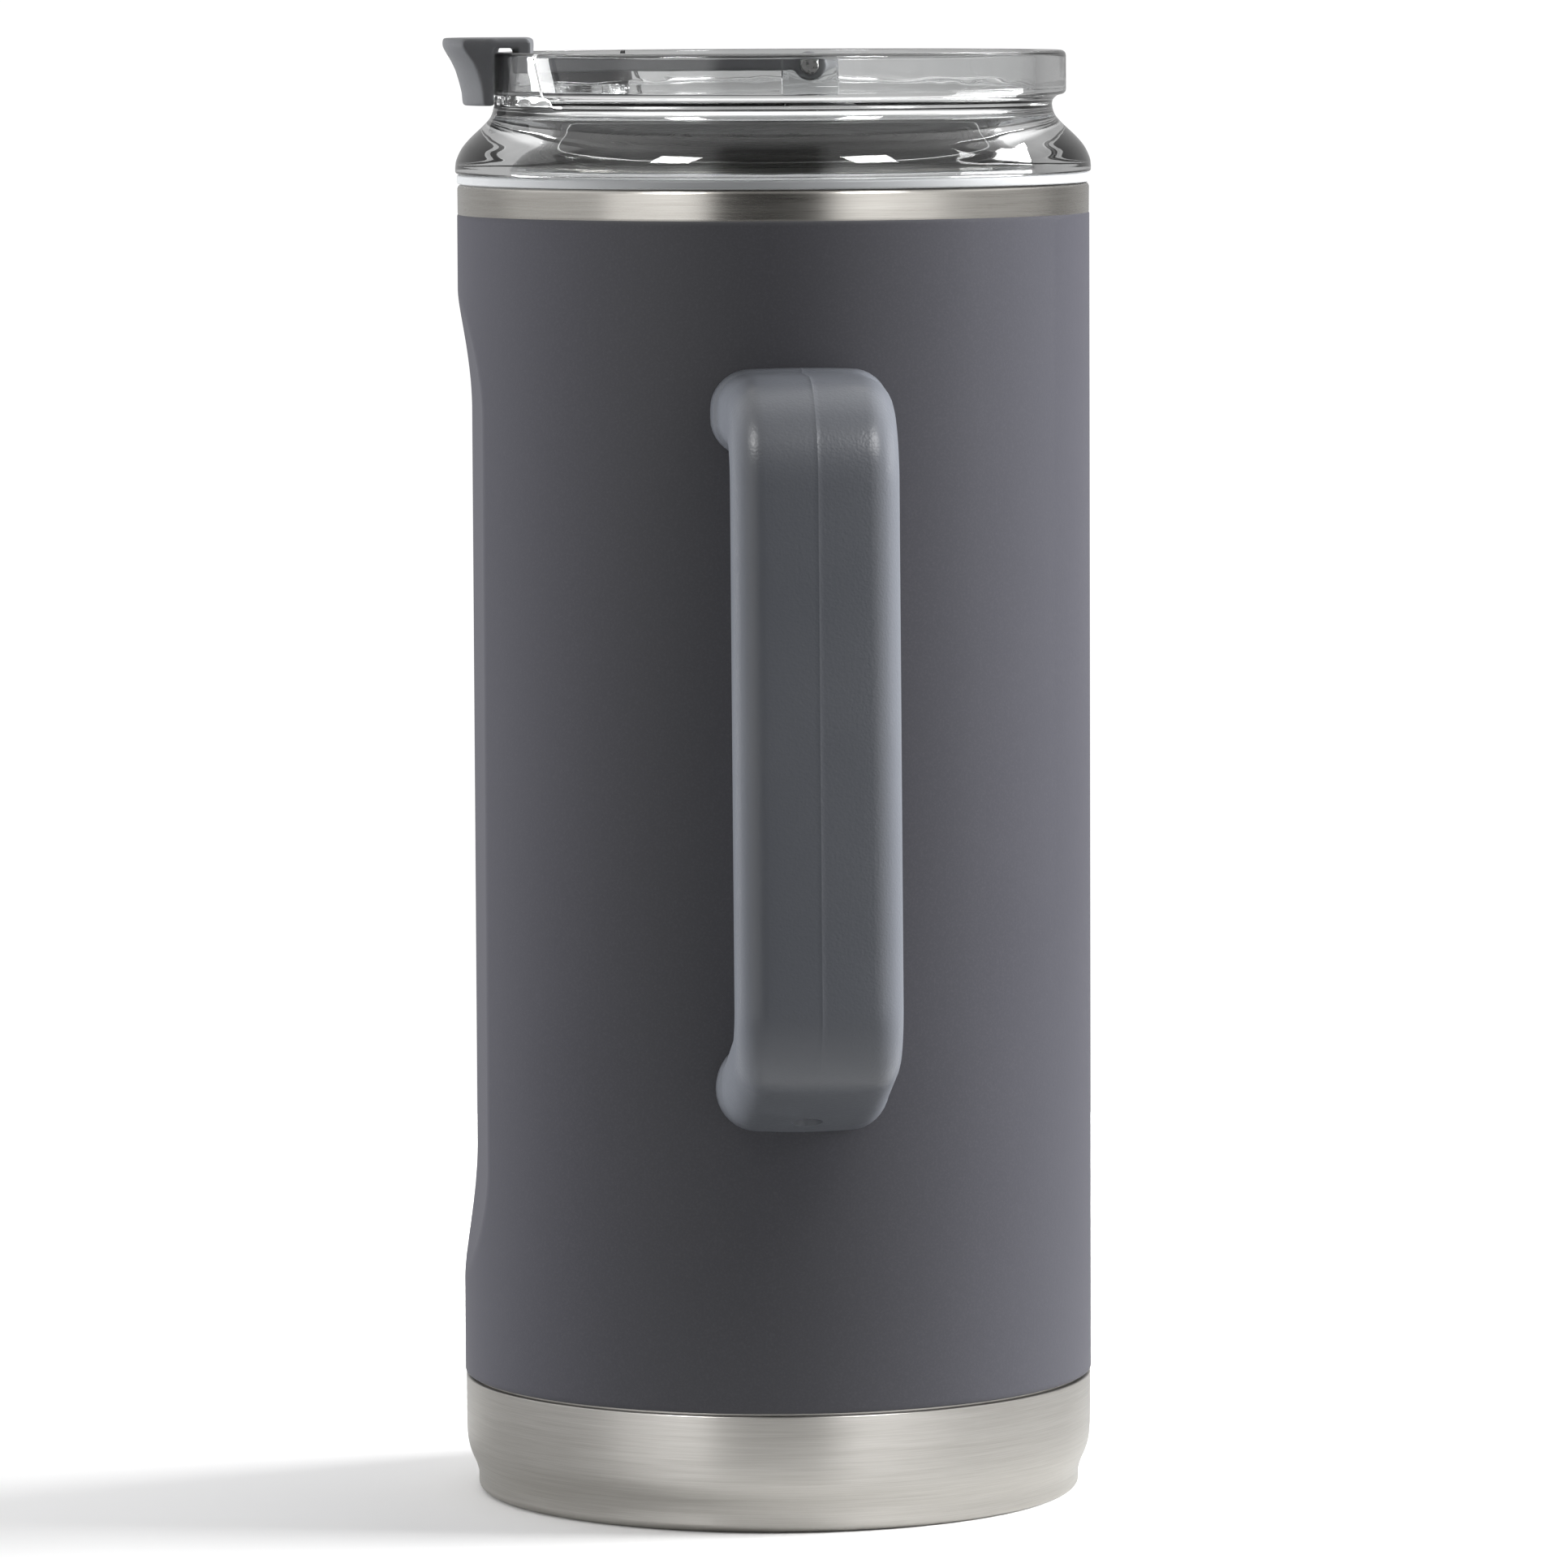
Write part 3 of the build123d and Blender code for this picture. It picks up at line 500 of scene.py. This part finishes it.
# ================================================================== bare steel
rim_profile = fillet([
    (55.4, 226.0), (56.15, 226.0), (56.15, 231.6), (56.86, 231.6), (56.92, 231.9, 0.1), (56.95, 237.0, 0.85),
    (51.45, 237.0, 0.35), (51.45, 236.2), (55.4, 236.2),
])
lathe("mouth_rim", rim_profile, RIM_STEEL, "vessel", ["rim_band"], n=360)

cup_side = smooth_curve([(54.68, 3.2), (55.21, 5.0), (55.95, 6.65), (56.54, 8.6), (56.78, 10.8), (56.85, 13.0)], 5)
base_profile = fillet([(0, 4.2), (5.5, 4.2, 0.3), (6.5, 3.0, 0.3), (44.6, 3.0, 0.8), (47.2, 0.4, 0.5), (47.8, 0.0, 0.4), (53.2, 0.0)], closed=False)
base_profile += [(53.2 + 1.48 * math.sin(a), 1.48 - 1.48 * math.cos(a)) for a in np.linspace(0.15, math.pi / 2, 8)]
base_profile += cup_side
base_profile += fillet([(56.85, 14.0), (56.85, 21.0, 0.22), (56.25, 21.22, 0.1), (56.1, 21.22), (56.1, 27.0), (55.3, 27.0), (55.3, 20.5), (56.05, 20.0), (56.05, 13.0), (55.7, 8.7), (54.5, 5.5), (53.88, 3.4), (53.88, 1.7), (53.0, 0.85), (48.2, 0.85), (45.1, 3.8), (6.8, 3.8), (5.8, 5.0), (0, 5.0)], closed=False)
lathe("base_bowl", base_profile, BASE_STEEL, "vessel", ["base_cup"], n=360, closed=False)

cover_profile = fillet([(0, 2.35), (40.0, 2.35, 0.28), (40.0, 2.95), (0, 2.95)], closed=False)
lathe("underside_cover", cover_profile, BASE_STEEL, "vessel", ["bottom_cover"], closed=False)

for node, material in (("inner_vessel", SHADED_LINER_STEEL), ("copper_foil", COPPER), ("getter", GETTER), ("vacuum_seal", SEAL),
                       ("upper_bracket", STEEL), ("lower_bracket", STEEL), ("bracket_nut", STEEL), ("handle_screw", STEEL),
                       ("hinge_pin", STEEL), ("cap_stopper", STOPPER)):
    mesh = NODES[node].data
    mesh.materials.clear()
    mesh.materials.append(material)

# ================================================================== gasket
gasket_profile = fillet([(50.85, 237.25, 0.3), (56.6, 237.05), (57.05, 237.25, 0.35), (57.05, 238.6, 0.5), (56.4, 238.85), (50.85, 238.65, 0.3)])
lathe("lid_seal_ring", gasket_profile, GASKET, "gasket", ["lid_gasket"], n=288, angle=50)

# ================================================================== handle
GRIP_W, GRIP_T = 29.0, 14.0


def handle_path():
    """Centre line of the handle in the YZ plane as (distance from axis, z), with tangents."""
    pts = [(57.0, 198.3), (84.0, 198.3, 12.0), (89.2, 90.4, 9.5), (57.0, 79.1)]
    fine = fillet(pts, closed=False, step=2.2)
    p = np.array(fine, float)
    d = np.concatenate([[0], np.cumsum(np.linalg.norm(np.diff(p, axis=0), axis=1))])
    total = d[-1]
    s = np.unique(np.concatenate([np.linspace(0, 6, 27), np.linspace(6, 44, 62), np.linspace(44, 118, 30), np.linspace(118, total - 8, 66), np.linspace(total - 8, total, 33)]))
    q = np.stack([np.interp(s, d, p[:, 0]), np.interp(s, d, p[:, 1])], 1)
    tan = np.gradient(q, s, axis=0)
    for _ in range(3):
        tan[1:-1] = (tan[:-2] + 2 * tan[1:-1] + tan[2:]) / 4
    tan /= np.linalg.norm(tan, axis=1)[:, None]
    return s, q, tan, total


def section(half_w, half_t, r_out, r_in, crown):
    """Rounded section as (x, n) points; n > 0 is the outer side, with a fine seam on x = 0."""
    pts = []
    inner_t = half_t
    half_t = half_t - 0.235  # room for the crown and the seam

    def corner(cx, cn, r, a0, a1, k=9):
        for i in range(k + 1):
            a = math.radians(a0 + (a1 - a0) * i / k)
            pts.append((cx + r * math.cos(a), cn + r * math.sin(a)))

    xo = half_w - r_out
    corner(xo, half_t - r_out, r_out, 0, 90)
    for x in (0.75, 0.5, 0.25, 0.10):
        pts.append((xo * x, half_t + crown * (1 - x * x)))
    for x, up in ((0.26, 0.0), (0.13, 0.022), (0.0, 0.040), (-0.13, 0.022), (-0.26, 0.0)):
        pts.append((x, half_t + crown + up))
    for x in (-0.10, -0.25, -0.5, -0.75):
        pts.append((xo * x, half_t + crown * (1 - x * x)))
    corner(-xo, half_t - r_out, r_out, 90, 180)
    corner(-(half_w - r_in), -(inner_t - r_in), r_in, 180, 270)
    xi = half_w - r_in
    for x in (-0.6, -0.2, 0.2, 0.6):
        pts.append((xi * x, -inner_t))
    corner(half_w - r_in, -(inner_t - r_in), r_in, 270, 360)
    return pts


def lip_size(d, flat, foot, reach):
    """Size of a root's lip at a distance d from the wall: a rounded plate, then a short flare."""
    t = min(max((d - flat) / (foot - flat), 0.0), 1.0)
    plate = 1.0 - t * t * (3 - 2 * t)
    edge = math.sqrt(1 - min(max(d - 0.6, 0.0) / (foot - 0.6), 1.0) ** 2)
    return 0.76 * min(plate, edge) + 0.24 * max(0.0, 1 - d / reach) ** 2


def handle():
    s, path, tan, total = handle_path()
    verts, n = [], None
    rings = []
    for i, (p, t) in enumerate(zip(path, tan)):
        start, end = s[i], total - s[i]
        normal = np.array([-t[1], t[0]])  # left-hand normal; the flip below is undone on the next line
        if normal @ np.array([1.0, 0.15]) < 0 and start > 30 and end > 20:
            normal = -normal
        normal = np.array([-t[1], t[0]])
        flare = lip_size(start, 1.5, 2.7, 6.5)
        flare_low = lip_size(end, 1.7, 3.1, 7.5)
        hw = GRIP_W / 2 + 1.25 * flare + 0.85 * flare_low
        ht = GRIP_T / 2 + 0.8 * flare
        out = section(hw, ht, min(5.6 + 1.4 * flare + 1.4 * flare_low, ht - 0.05), 5.6 + 1.2 * flare + 1.2 * flare_low, 0.18)
        ring = []
        # near the lower root the section turns upright, to sit on the wall
        w = max(0.0, 1 - end / 12.0) ** 1.5
        up = np.array([0.0, -1.0])
        lift = 0.9 * flare_low
        for x, h in out:
            a = p + normal * h
            grow = 8.5 / 7.0 if flare_low else 1.0
            hh = h * (1 + (7.42 / 7.0 - 1) * w) + (0.0 if h > 0 else h * 0.16 * flare_low)
            b = p + up * hh
            q = a * (1 - w) + b * w
            ring.append((x, q[0], q[1]))
        rings.append(ring)
    n = len(rings[0])
    # seat the first and last rings on the round wall
    def seat(x, r, z, amount):
        drop = BODY_R + 0.03 - math.sqrt(max((BODY_R + 0.03) ** 2 - x * x, 0))
        return (x, -(r - drop * amount), z)
    for i, ring in enumerate(rings):
        start, end = s[i], total - s[i]
        amount = max(0.0, 1 - min(start, end) / 9.0) ** 1.2
        for x, r, z in ring:
            if i in (0, len(rings) - 1):
                r = BODY_R + 0.03
            verts.append(seat(x, r, z, amount if i not in (0, len(rings) - 1) else 1.0))
    faces = []
    for i in range(len(rings) - 1):
        for k in range(n):
            m = (k + 1) % n
            faces.append([i * n + k, i * n + m, (i + 1) * n + m, (i + 1) * n + k])
    # closing faces that follow the wall
    for i, flip in ((0, True), (len(rings) - 1, False)):
        base = i * n
        ring = [verts[base + k] for k in range(n)]
        cx = sum(v[0] for v in ring) / n
        cz = sum(v[2] for v in ring) / n
        prev = list(range(base, base + n))
        for scale in (0.72, 0.44, 0.18):
            cur = []
            for v in ring:
                x, z = cx + (v[0] - cx) * scale, cz + (v[2] - cz) * scale
                verts.append((x, -math.sqrt((BODY_R + 0.03) ** 2 - x * x), z))
                cur.append(len(verts) - 1)
            for k in range(n):
                m = (k + 1) % n
                faces.append([prev[k], prev[m], cur[m], cur[k]])
            prev = cur
        verts.append((cx, -math.sqrt((BODY_R + 0.03) ** 2 - cx * cx), cz))
        c = len(verts) - 1
        for k in range(n):
            faces.append([prev[k], prev[(k + 1) % n], c])
    obj = new_object("side_handle", verts, faces, GRIP, "vessel", ["handle_grip"], 60)
    # screw hole in the underside of the lower root, with its inner end rounded
    hole = [(0, 60), (2.75, 60), (2.75, 78.0, 0.2), (0, 78.0)]
    data = lathe_data(fillet(hole, closed=False), 48, closed=False)
    cutter = bare("hole_cutter", ([(x, y - 64.0, z) for x, y, z in data[0]], data[1]))
    boolean(obj, cutter, "DIFFERENCE")
    crisp(obj, 48)
    return obj


handle()

# ================================================================== clear lid
DECK_Z0, DECK_Z = 250.6, 253.0
BAND_R, BAND_IN, BAND_Z, LIP_R = 52.85, 47.5, 260.7, 50.2


def opening_half(z):
    z = min(max(z, 251.0), 262.5)
    return math.radians(49.7 + (45.2 - 49.7) * (z - 251.0) / 11.5)


def lid():
    neck = smooth_curve([(57.3, 239.9), (57.2, 240.9), (56.87, 241.95), (56.0, 243.6), (54.54, 245.3), (52.06, 247.65), (50.9, 249.0), (50.46, 250.1), (50.3, 251.0)], 5)
    under = fillet([(0, DECK_Z0), (47.5, DECK_Z0, 4.0), (47.5, 221.0, 0.5), (49.9, 221.0, 0.8), (49.9, 238.9, 0.5), (57.3, 238.9, 0.9), (57.3, 239.9)], closed=False, step=7.5)
    lower = under[:-1] + neck  # ends at (50.3, 251.0)
    band = fillet([(50.3, 251.0), (50.42, 251.8, 0.6), (51.25, 252.62, 1.2), (52.85, 252.9, 1.0), (52.85, 260.7, 1.0), (48.4, 260.7)], closed=False, step=9)
    lip = fillet([(50.2, 251.0), (50.2, 255.0), (50.2, 260.7, 0.7), (48.4, 260.7)], closed=False, step=9)
    m = 40
    band, lip = resample(band, m), resample(lip, m)
    upper = fillet([(48.4, 260.7), (47.5, 260.7, 0.8), (47.5, 253.0, 1.0), (0, 253.0)], closed=False, step=9)
    # columns: (kind, position, share of band)
    cols = []
    for t in np.linspace(0, 1, 150, endpoint=False)[0:]:
        cols.append(("out", t, 1.0))
    depth, r1, r2 = 2.65, 0.7, 0.6
    corner = []
    for k in range(7):
        a = math.pi / 2 * k / 6
        corner.append((r1 * (1 - math.sin(a)), 1 - r1 * (1 - math.cos(a)) / depth))
    for k in range(7):
        a = math.pi / 2 * k / 6
        corner.append((-r2 * (1 - math.cos(a)), 1 - (depth - r2 + r2 * math.sin(a)) / depth))

    profile = [(p, p) for p in lower[:-1]] + list(zip(band, lip)) + [(p, p) for p in upper[1:]]

    def angle_of(kind, t, z):
        half = opening_half(z)
        if kind == "edge+":
            return SPOUT + half + t / 51.5
        if kind == "edge-":
            return SPOUT - half - t / 51.5
        pad1, pad2 = r1 / 51.5, r2 / 51.5
        if kind == "out":
            return SPOUT + half + pad1 + (2 * math.pi - 2 * half - 2 * pad1) * t
        return SPOUT - half + pad2 + (2 * half - 2 * pad2) * t

    columns = []
    n_out, n_in = 220, 84
    for t in np.linspace(0, 1, n_out)[1:-1]:
        columns.append(("out", t, 1.0))
    for off, share in corner:
        columns.append(("edge-", off, share))
    for t in np.linspace(0, 1, n_in)[1:-1]:
        columns.append(("in", t, 0.0))
    for off, share in corner[::-1]:
        columns.append(("edge+", off, share))
    verts, rows = [], []
    n = len(columns)
    for pb, pl in profile:
        if pb[0] < 1e-6:
            rows.append([len(verts)] * n)
            verts.append((0.0, 0.0, pb[1]))
            continue
        row = []
        for kind, t, share in columns:
            r = pb[0] * share + pl[0] * (1 - share)
            z = pb[1] * share + pl[1] * (1 - share)
            a = angle_of(kind, t, z)
            row.append(len(verts))
            verts.append((r * math.cos(a), r * math.sin(a), z))
        rows.append(row)
    faces = []
    for i in range(len(rows) - 1):
        a, b = rows[i], rows[i + 1]
        for k in range(n):
            m2 = (k + 1) % n
            face = [a[k], a[m2], b[m2], b[k]]
            face = [v for j, v in enumerate(face) if v != face[j - 1]]
            if len(face) >= 3:
                faces.append(face)
    obj = new_object("clear_lid", verts, faces, CLEAR, "lid", ["lid_body"], 40)

    # collar and pouring hole
    collar = bare("collar", prism(slot_outline(34.0, 21.0, 16.0), DECK_Z - 0.5, 254.6, top_round=0.45))
    boolean(obj, collar, "UNION")
    hole = bare("hole", prism(slot_outline(34.0, 18.0, 13.0), 240.0, 258.0))
    boolean(obj, hole, "DIFFERENCE")
    # hinge ears
    for side in (-1, 1):
        x0, x1, zt = PIN_U - 5.0, PIN_U + 5.0, 260.1
        outline = fillet([(x0, DECK_Z - 0.5), (x1, DECK_Z - 0.5), (x1, zt, 1.6), (x0, zt, 2.6)], step=11)
        c0 = 12.4 if side > 0 else -16.0
        data = prism(outline, c0, c0 + 3.6, place=lambda u, z, c: lid_point(u, c, z), top_round=0.35, bottom_round=0.35, steps=4)
        boolean(obj, bare("ear", data), "UNION")
    circle = [(PIN_U + 1.61 * math.cos(2 * math.pi * k / 40), PIN_Z + 1.61 * math.sin(2 * math.pi * k / 40)) for k in range(40)]
    boolean(obj, bare("pin_hole", prism(circle, -20.0, 20.0, place=lambda u, z, c: lid_point(u, c, z))), "DIFFERENCE")
    # thread of the plug
    for start in range(3):
        a0 = math.radians(20.0 + 120.0 * start)
        vs, fs = [], []
        steps = 96
        for k in range(steps + 1):
            q = k / steps
            a = a0 + 2 * math.pi * (8.0 / 12.0) * q
            z = 224.0 + 8.0 * q
            fade = min(1.0, min(q, 1 - q) / 0.04)
            crest = 49.95 + 0.95 * fade
            for r, dz in ((49.0, -0.85), (49.9, -0.82), (crest, -0.38), (crest, 0.38), (49.9, 0.82), (49.0, 0.85)):
                vs.append((r * math.cos(a), r * math.sin(a), z + dz))
        for k in range(steps):
            for j in range(6):
                l = (j + 1) % 6
                fs.append([k * 6 + j, k * 6 + l, (k + 1) * 6 + l, (k + 1) * 6 + j])
        fs.append([0, 1, 2, 3, 4, 5])
        fs.append([steps * 6 + j for j in range(6)])
        boolean(obj, bare("rib", (vs, fs)), "UNION")
    crisp(obj, 40)
    return obj


lid()

# ================================================================== flip cap
def cap():
    parts = []

    def ring_points(radius, half, n, sign=1):
        a = math.asin(half / radius)
        return [(radius * math.cos(q), radius * math.sin(q)) for q in np.linspace(-a * sign, a * sign, n)]

    def three_arc(p0, p1, p2, n):
        (ax, ay), (bx, by), (cx, cy) = p0, p1, p2
        d = 2 * (ax * (by - cy) + bx * (cy - ay) + cx * (ay - by))
        ux = ((ax**2 + ay**2) * (by - cy) + (bx**2 + by**2) * (cy - ay) + (cx**2 + cy**2) * (ay - by)) / d
        uy = ((ax**2 + ay**2) * (cx - bx) + (bx**2 + by**2) * (ax - cx) + (cx**2 + cy**2) * (bx - ax)) / d
        r = math.hypot(ax - ux, ay - uy)
        a0, a1 = math.atan2(ay - uy, ax - ux), math.atan2(cy - uy, cx - ux)
        return [(ux + r * math.cos(a), uy + r * math.sin(a)) for a in np.linspace(a0, a1, n)]

    # thumb tab: rows of its nose, which scoops in below the head
    def nose(u0, half, edge_u, inner):
        front = three_arc((edge_u, -half), (u0, 0), (edge_u, half), 41)
        back = ring_points(inner, half, 31, -1)
        return front + back

    levels = [(251.15, 55.7, 11.1, 51.6), (251.6, 55.9, 11.2, 51.7), (253.5, 56.05, 11.3, 51.85), (255.5, 56.55, 11.4, 52.2), (257.5, 57.15, 11.55, 52.8),
              (259.2, 57.95, 11.7, 53.6), (260.6, 58.8, 11.9, 54.6), (261.7, 59.4, 12.05, 55.3), (262.4, 59.5, 12.1, 55.4), (263.3, 59.3, 12.0, 55.2)]
    vs, fs, n = [], [], None
    for z, u0, half, edge in levels:
        row = nose(u0, half, edge, 51.05)
        n = len(row)
        vs += [lid_point(u, c, z) for u, c in row]
    for i in range(len(levels) - 1):
        for k in range(n):
            m = (k + 1) % n
            fs.append([i * n + k, i * n + m, (i + 1) * n + m, (i + 1) * n + k])
    fs.append(list(range(n))[::-1])
    fs.append([(len(levels) - 1) * n + k for k in range(n)])
    parts.append((vs, fs))
    # head plate
    front = three_arc((55.3, -12.05), (59.3, 0), (55.3, 12.05), 41)
    plate = front + ring_points(44.8, 12.05, 31, -1)
    parts.append(prism(plate, 261.5, 263.3, top_round=1.0))
    # leg inside the lip
    leg = ring_points(46.85, 12.05, 31) + ring_points(44.85, 12.05, 31, -1)
    parts.append(prism(leg, 256.7, 262.5))
    # arm to the hinge
    arm = ring_points(45.6, 11.9, 31) + [(PIN_U, 11.9), (PIN_U, -11.9)]
    parts.append(prism(arm, 256.65, 259.65))
    barrel = [(PIN_U + 2.85 * math.cos(2 * math.pi * k / 48), PIN_Z + 2.85 * math.sin(2 * math.pi * k / 48)) for k in range(48)]
    parts.append(prism(barrel, -11.95, 11.95, place=lambda u, z, c: lid_point(u, c, z)))
    verts, faces = [], []
    for v, f in parts:
        off = len(verts)
        verts += v
        faces += [[q + off for q in face] for face in f]
    obj = new_object("pour_cap", verts, faces, None, None)
    mod = obj.modifiers.new("remesh", "REMESH")
    mod.mode = "VOXEL"
    mod.voxel_size = 0.00030
    mod = obj.modifiers.new("smooth", "SMOOTH")
    mod.factor = 0.5
    mod.iterations = 7
    mod = obj.modifiers.new("thin", "DECIMATE")
    mod.ratio = 0.22
    deps = bpy.context.evaluated_depsgraph_get()
    deps.update()
    mesh = bpy.data.meshes.new_from_object(obj.evaluated_get(deps))
    obj.modifiers.clear()
    obj.data = mesh
    hole = [(PIN_U + 1.66 * math.cos(2 * math.pi * k / 40), PIN_Z + 1.66 * math.sin(2 * math.pi * k / 40)) for k in range(40)]
    boolean(obj, bare("pin_bore", prism(hole, -20.0, 20.0, place=lambda u, z, c: lid_point(u, c, z))), "DIFFERENCE")
    boolean(obj, bare("stem_socket", prism(slot_outline(34.0, 14.2, 8.2), 255.0, 258.1)), "DIFFERENCE")
    obj.data.materials.clear()
    obj.data.materials.append(CAP)
    obj.data.polygons.foreach_set("material_index", [0] * len(obj.data.polygons))
    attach(obj, "cap")
    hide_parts("flip_cap")
    crisp(obj, 50)
    return obj


cap()

# ================================================================== floor, light, camera
floor_mat = Tree("floor_white")
ray = floor_mat.add("ShaderNodeLightPath")
fx, fy, fz = floor_mat.xyz()
far = floor_mat.math("SQRT", floor_mat.math("ADD", floor_mat.math("MULTIPLY", fx, fx), floor_mat.math("MULTIPLY", fy, fy)))
bounce = floor_mat.mix(floor_mat.remap(far, 0.06, 0.30), rgb(0.52, 0.52, 0.51), rgb(0.16, 0.16, 0.16))
floor_mat.done(Base__Color=floor_mat.mix(ray.outputs["Is Camera Ray"], bounce, rgb(0.93, 0.93, 0.93)), Roughness=0.9)
floor_mesh = bpy.data.meshes.new("floor")
FLOOR_R = 0.55
floor_mesh.from_pydata([(FLOOR_R * math.cos(2 * math.pi * k / 128), FLOOR_R * math.sin(2 * math.pi * k / 128), -0.0001) for k in range(128)], [], [list(range(128))])
floor_mesh.materials.append(floor_mat.mat)
floor = bpy.data.objects.new("floor", floor_mesh)
bpy.context.scene.collection.objects.link(floor)

world = bpy.data.worlds.new("studio")
bpy.context.scene.world = world
world.use_nodes = True
wt = world.node_tree
wt.nodes.clear()


def wnode(kind, **k):
    node = wt.nodes.new(kind)
    for a, b in k.items():
        setattr(node, a, b)
    return node


def wmath(op, a, b=0.0, clamp=False):
    node = wnode("ShaderNodeMath", operation=op, use_clamp=clamp)
    for s, v in zip(node.inputs, (a, b)):
        if isinstance(v, bpy.types.NodeSocket):
            wt.links.new(v, s)
        else:
            s.default_value = v
    return node.outputs[0]


coord = wnode("ShaderNodeTexCoord")
sep = wnode("ShaderNodeSeparateXYZ")
wt.links.new(coord.outputs["Generated"], sep.inputs[0])
# azimuth of the light's direction, 0 at the front (-Y), positive to the right (+X)
az = wmath("ARCTAN2", sep.outputs["X"], wmath("MULTIPLY", sep.outputs["Y"], -1.0))
az01 = wmath("ADD", wmath("DIVIDE", az, 2 * math.pi), 0.5)
# (azimuth in degrees, level) of the band that upright walls mirror: soft boxes left and right of a dark front
CAM_AZ = -4.7
BAND = [(-180, 0.46), (-145, 0.44), (-120, 0.42), (-106, 0.60), (-66, 0.60), (-60, 1.15), (-27, 1.10), (-20, 0.04), (18, 0.03), (25, 1.05), (58, 1.10), (68, 0.65), (80, 0.50), (112, 0.46), (126, 0.28), (150, 0.40), (180, 0.46)]
# and of what lies above and below it
UPPER = [(-180, 0.9), (-110, 1.0), (-75, 0.7), (-50, 0.12), (50, 0.12), (75, 0.8), (110, 1.3), (180, 0.9)]


def studio_ramp(points):
    node = wnode("ShaderNodeValToRGB")
    wt.links.new(az01, node.inputs[0])
    els = node.color_ramp.elements
    els.remove(els[1])
    for i, (deg, level) in enumerate(points):
        pos = min(max((deg + CAM_AZ + 180) / 360, 0.0), 1.0)
        e = els[0] if i == 0 else els.new(pos)
        e.position = pos
        e.color = (level / 4, level / 4, level / 4, 1)
    return wmath("MULTIPLY", node.outputs[0], 4.0)


def wstep(value, lo, hi, a=0.0, b=1.0):
    node = wnode("ShaderNodeMapRange", interpolation_type="SMOOTHSTEP")
    wt.links.new(value, node.inputs["Value"])
    for k, v in (("From Min", lo), ("From Max", hi), ("To Min", a), ("To Max", b)):
        node.inputs[k].default_value = v
    return node.outputs["Result"]


def wmix(fac, a, b):
    node = wnode("ShaderNodeMix", data_type="FLOAT")
    for socket, v in ((node.inputs[0], fac), (node.inputs[2], a), (node.inputs[3], b)):
        if isinstance(v, bpy.types.NodeSocket):
            wt.links.new(v, socket)
        else:
            socket.default_value = v
    return node.outputs[0]


height = sep.outputs["Z"]
level = wmix(wstep(height, 0.36, 0.52), studio_ramp(BAND), studio_ramp(UPPER))
level = wmix(wstep(height, -0.42, -0.30), 0.12, level)
ceiling = wstep(sep.outputs["Y"], -0.35, 0.25, 0.35, 1.6)
level = wmix(wstep(height, 0.70, 0.82), level, ceiling)
# seen directly, the backdrop is white
path = wnode("ShaderNodeLightPath")
mix2 = wnode("ShaderNodeMix", data_type="FLOAT")
wt.links.new(path.outputs["Is Camera Ray"], mix2.inputs[0])
wt.links.new(level, mix2.inputs[2])
mix2.inputs[3].default_value = 1.05
bg = wnode("ShaderNodeBackground")
wt.links.new(mix2.outputs[0], bg.inputs["Strength"])
bg.inputs["Color"].default_value = (1.0, 1.0, 1.0, 1)
out = wnode("ShaderNodeOutputWorld")
wt.links.new(bg.outputs[0], out.inputs[0])


def area(name, position, target, size, size_y, power):
    light = bpy.data.lights.new(name, "AREA")
    light.shape = "RECTANGLE"
    light.size, light.size_y = size, size_y
    light.energy = power
    obj = bpy.data.objects.new(name, light)
    bpy.context.scene.collection.objects.link(obj)
    obj.location = position
    obj.visible_camera = False
    d = Vector(target) - Vector(position)
    obj.rotation_euler = d.to_track_quat("-Z", "Y").to_euler()
    return obj


def around(azimuth, elevation, distance):
    """A place seen from the growler: azimuth from the camera's side, positive to the right."""
    a, e = math.radians(azimuth + CAM_AZ), math.radians(elevation)
    return (distance * math.cos(e) * math.sin(a), -distance * math.cos(e) * math.cos(a), 0.13 + distance * math.sin(e))


soft = (0, 0, 0.13)
left = area("box_left", around(-42, 46, 1.5), soft, 0.34, 0.36, 9.0)
right_box = area("box_right", around(42, 46, 1.5), soft, 0.36, 0.38, 10.0)
for lamp in (left, right_box):
    lamp.visible_diffuse = False
key = area("key_right", around(101, 17, 1.1), (0, 0, 0.07), 0.85, 0.40, 43.0)
side = area("side_left", around(-111, -3, 1.3), (0, 0, 0.08), 0.6, 0.2, 34.0)
for lamp in (key, side):
    lamp.visible_glossy = False

scene = bpy.context.scene
scene.view_settings.view_transform = "Standard"
scene.view_settings.look = "None"

camera_data = bpy.data.cameras.new("camera")
camera_data.sensor_width = 36.0
camera_data.lens = 11287.47 * 36.0 / 1932.0
camera_data.clip_start, camera_data.clip_end = 0.05, 50.0
camera = bpy.data.objects.new("camera", camera_data)
scene.collection.objects.link(camera)
pitch, roll, yaw = 0.0885, -0.0044, 0.0009
forward = Vector((math.sin(yaw) * math.cos(pitch), math.cos(yaw) * math.cos(pitch), -math.sin(pitch)))
right = Vector((math.cos(yaw), -math.sin(yaw), 0.0))
upv = right.cross(forward)
r2 = right * math.cos(roll) + upv * math.sin(roll)
u2 = upv * math.cos(roll) - right * math.sin(roll)
turn = Matrix.Rotation(math.radians(CAM_AZ), 3, "Z")
basis = Matrix((turn @ r2, turn @ u2, turn @ (-forward))).transposed()
camera.matrix_world = Matrix.Translation(turn @ Vector((0.0, -1.655466, 0.275006))) @ basis.to_4x4()
scene.camera = camera
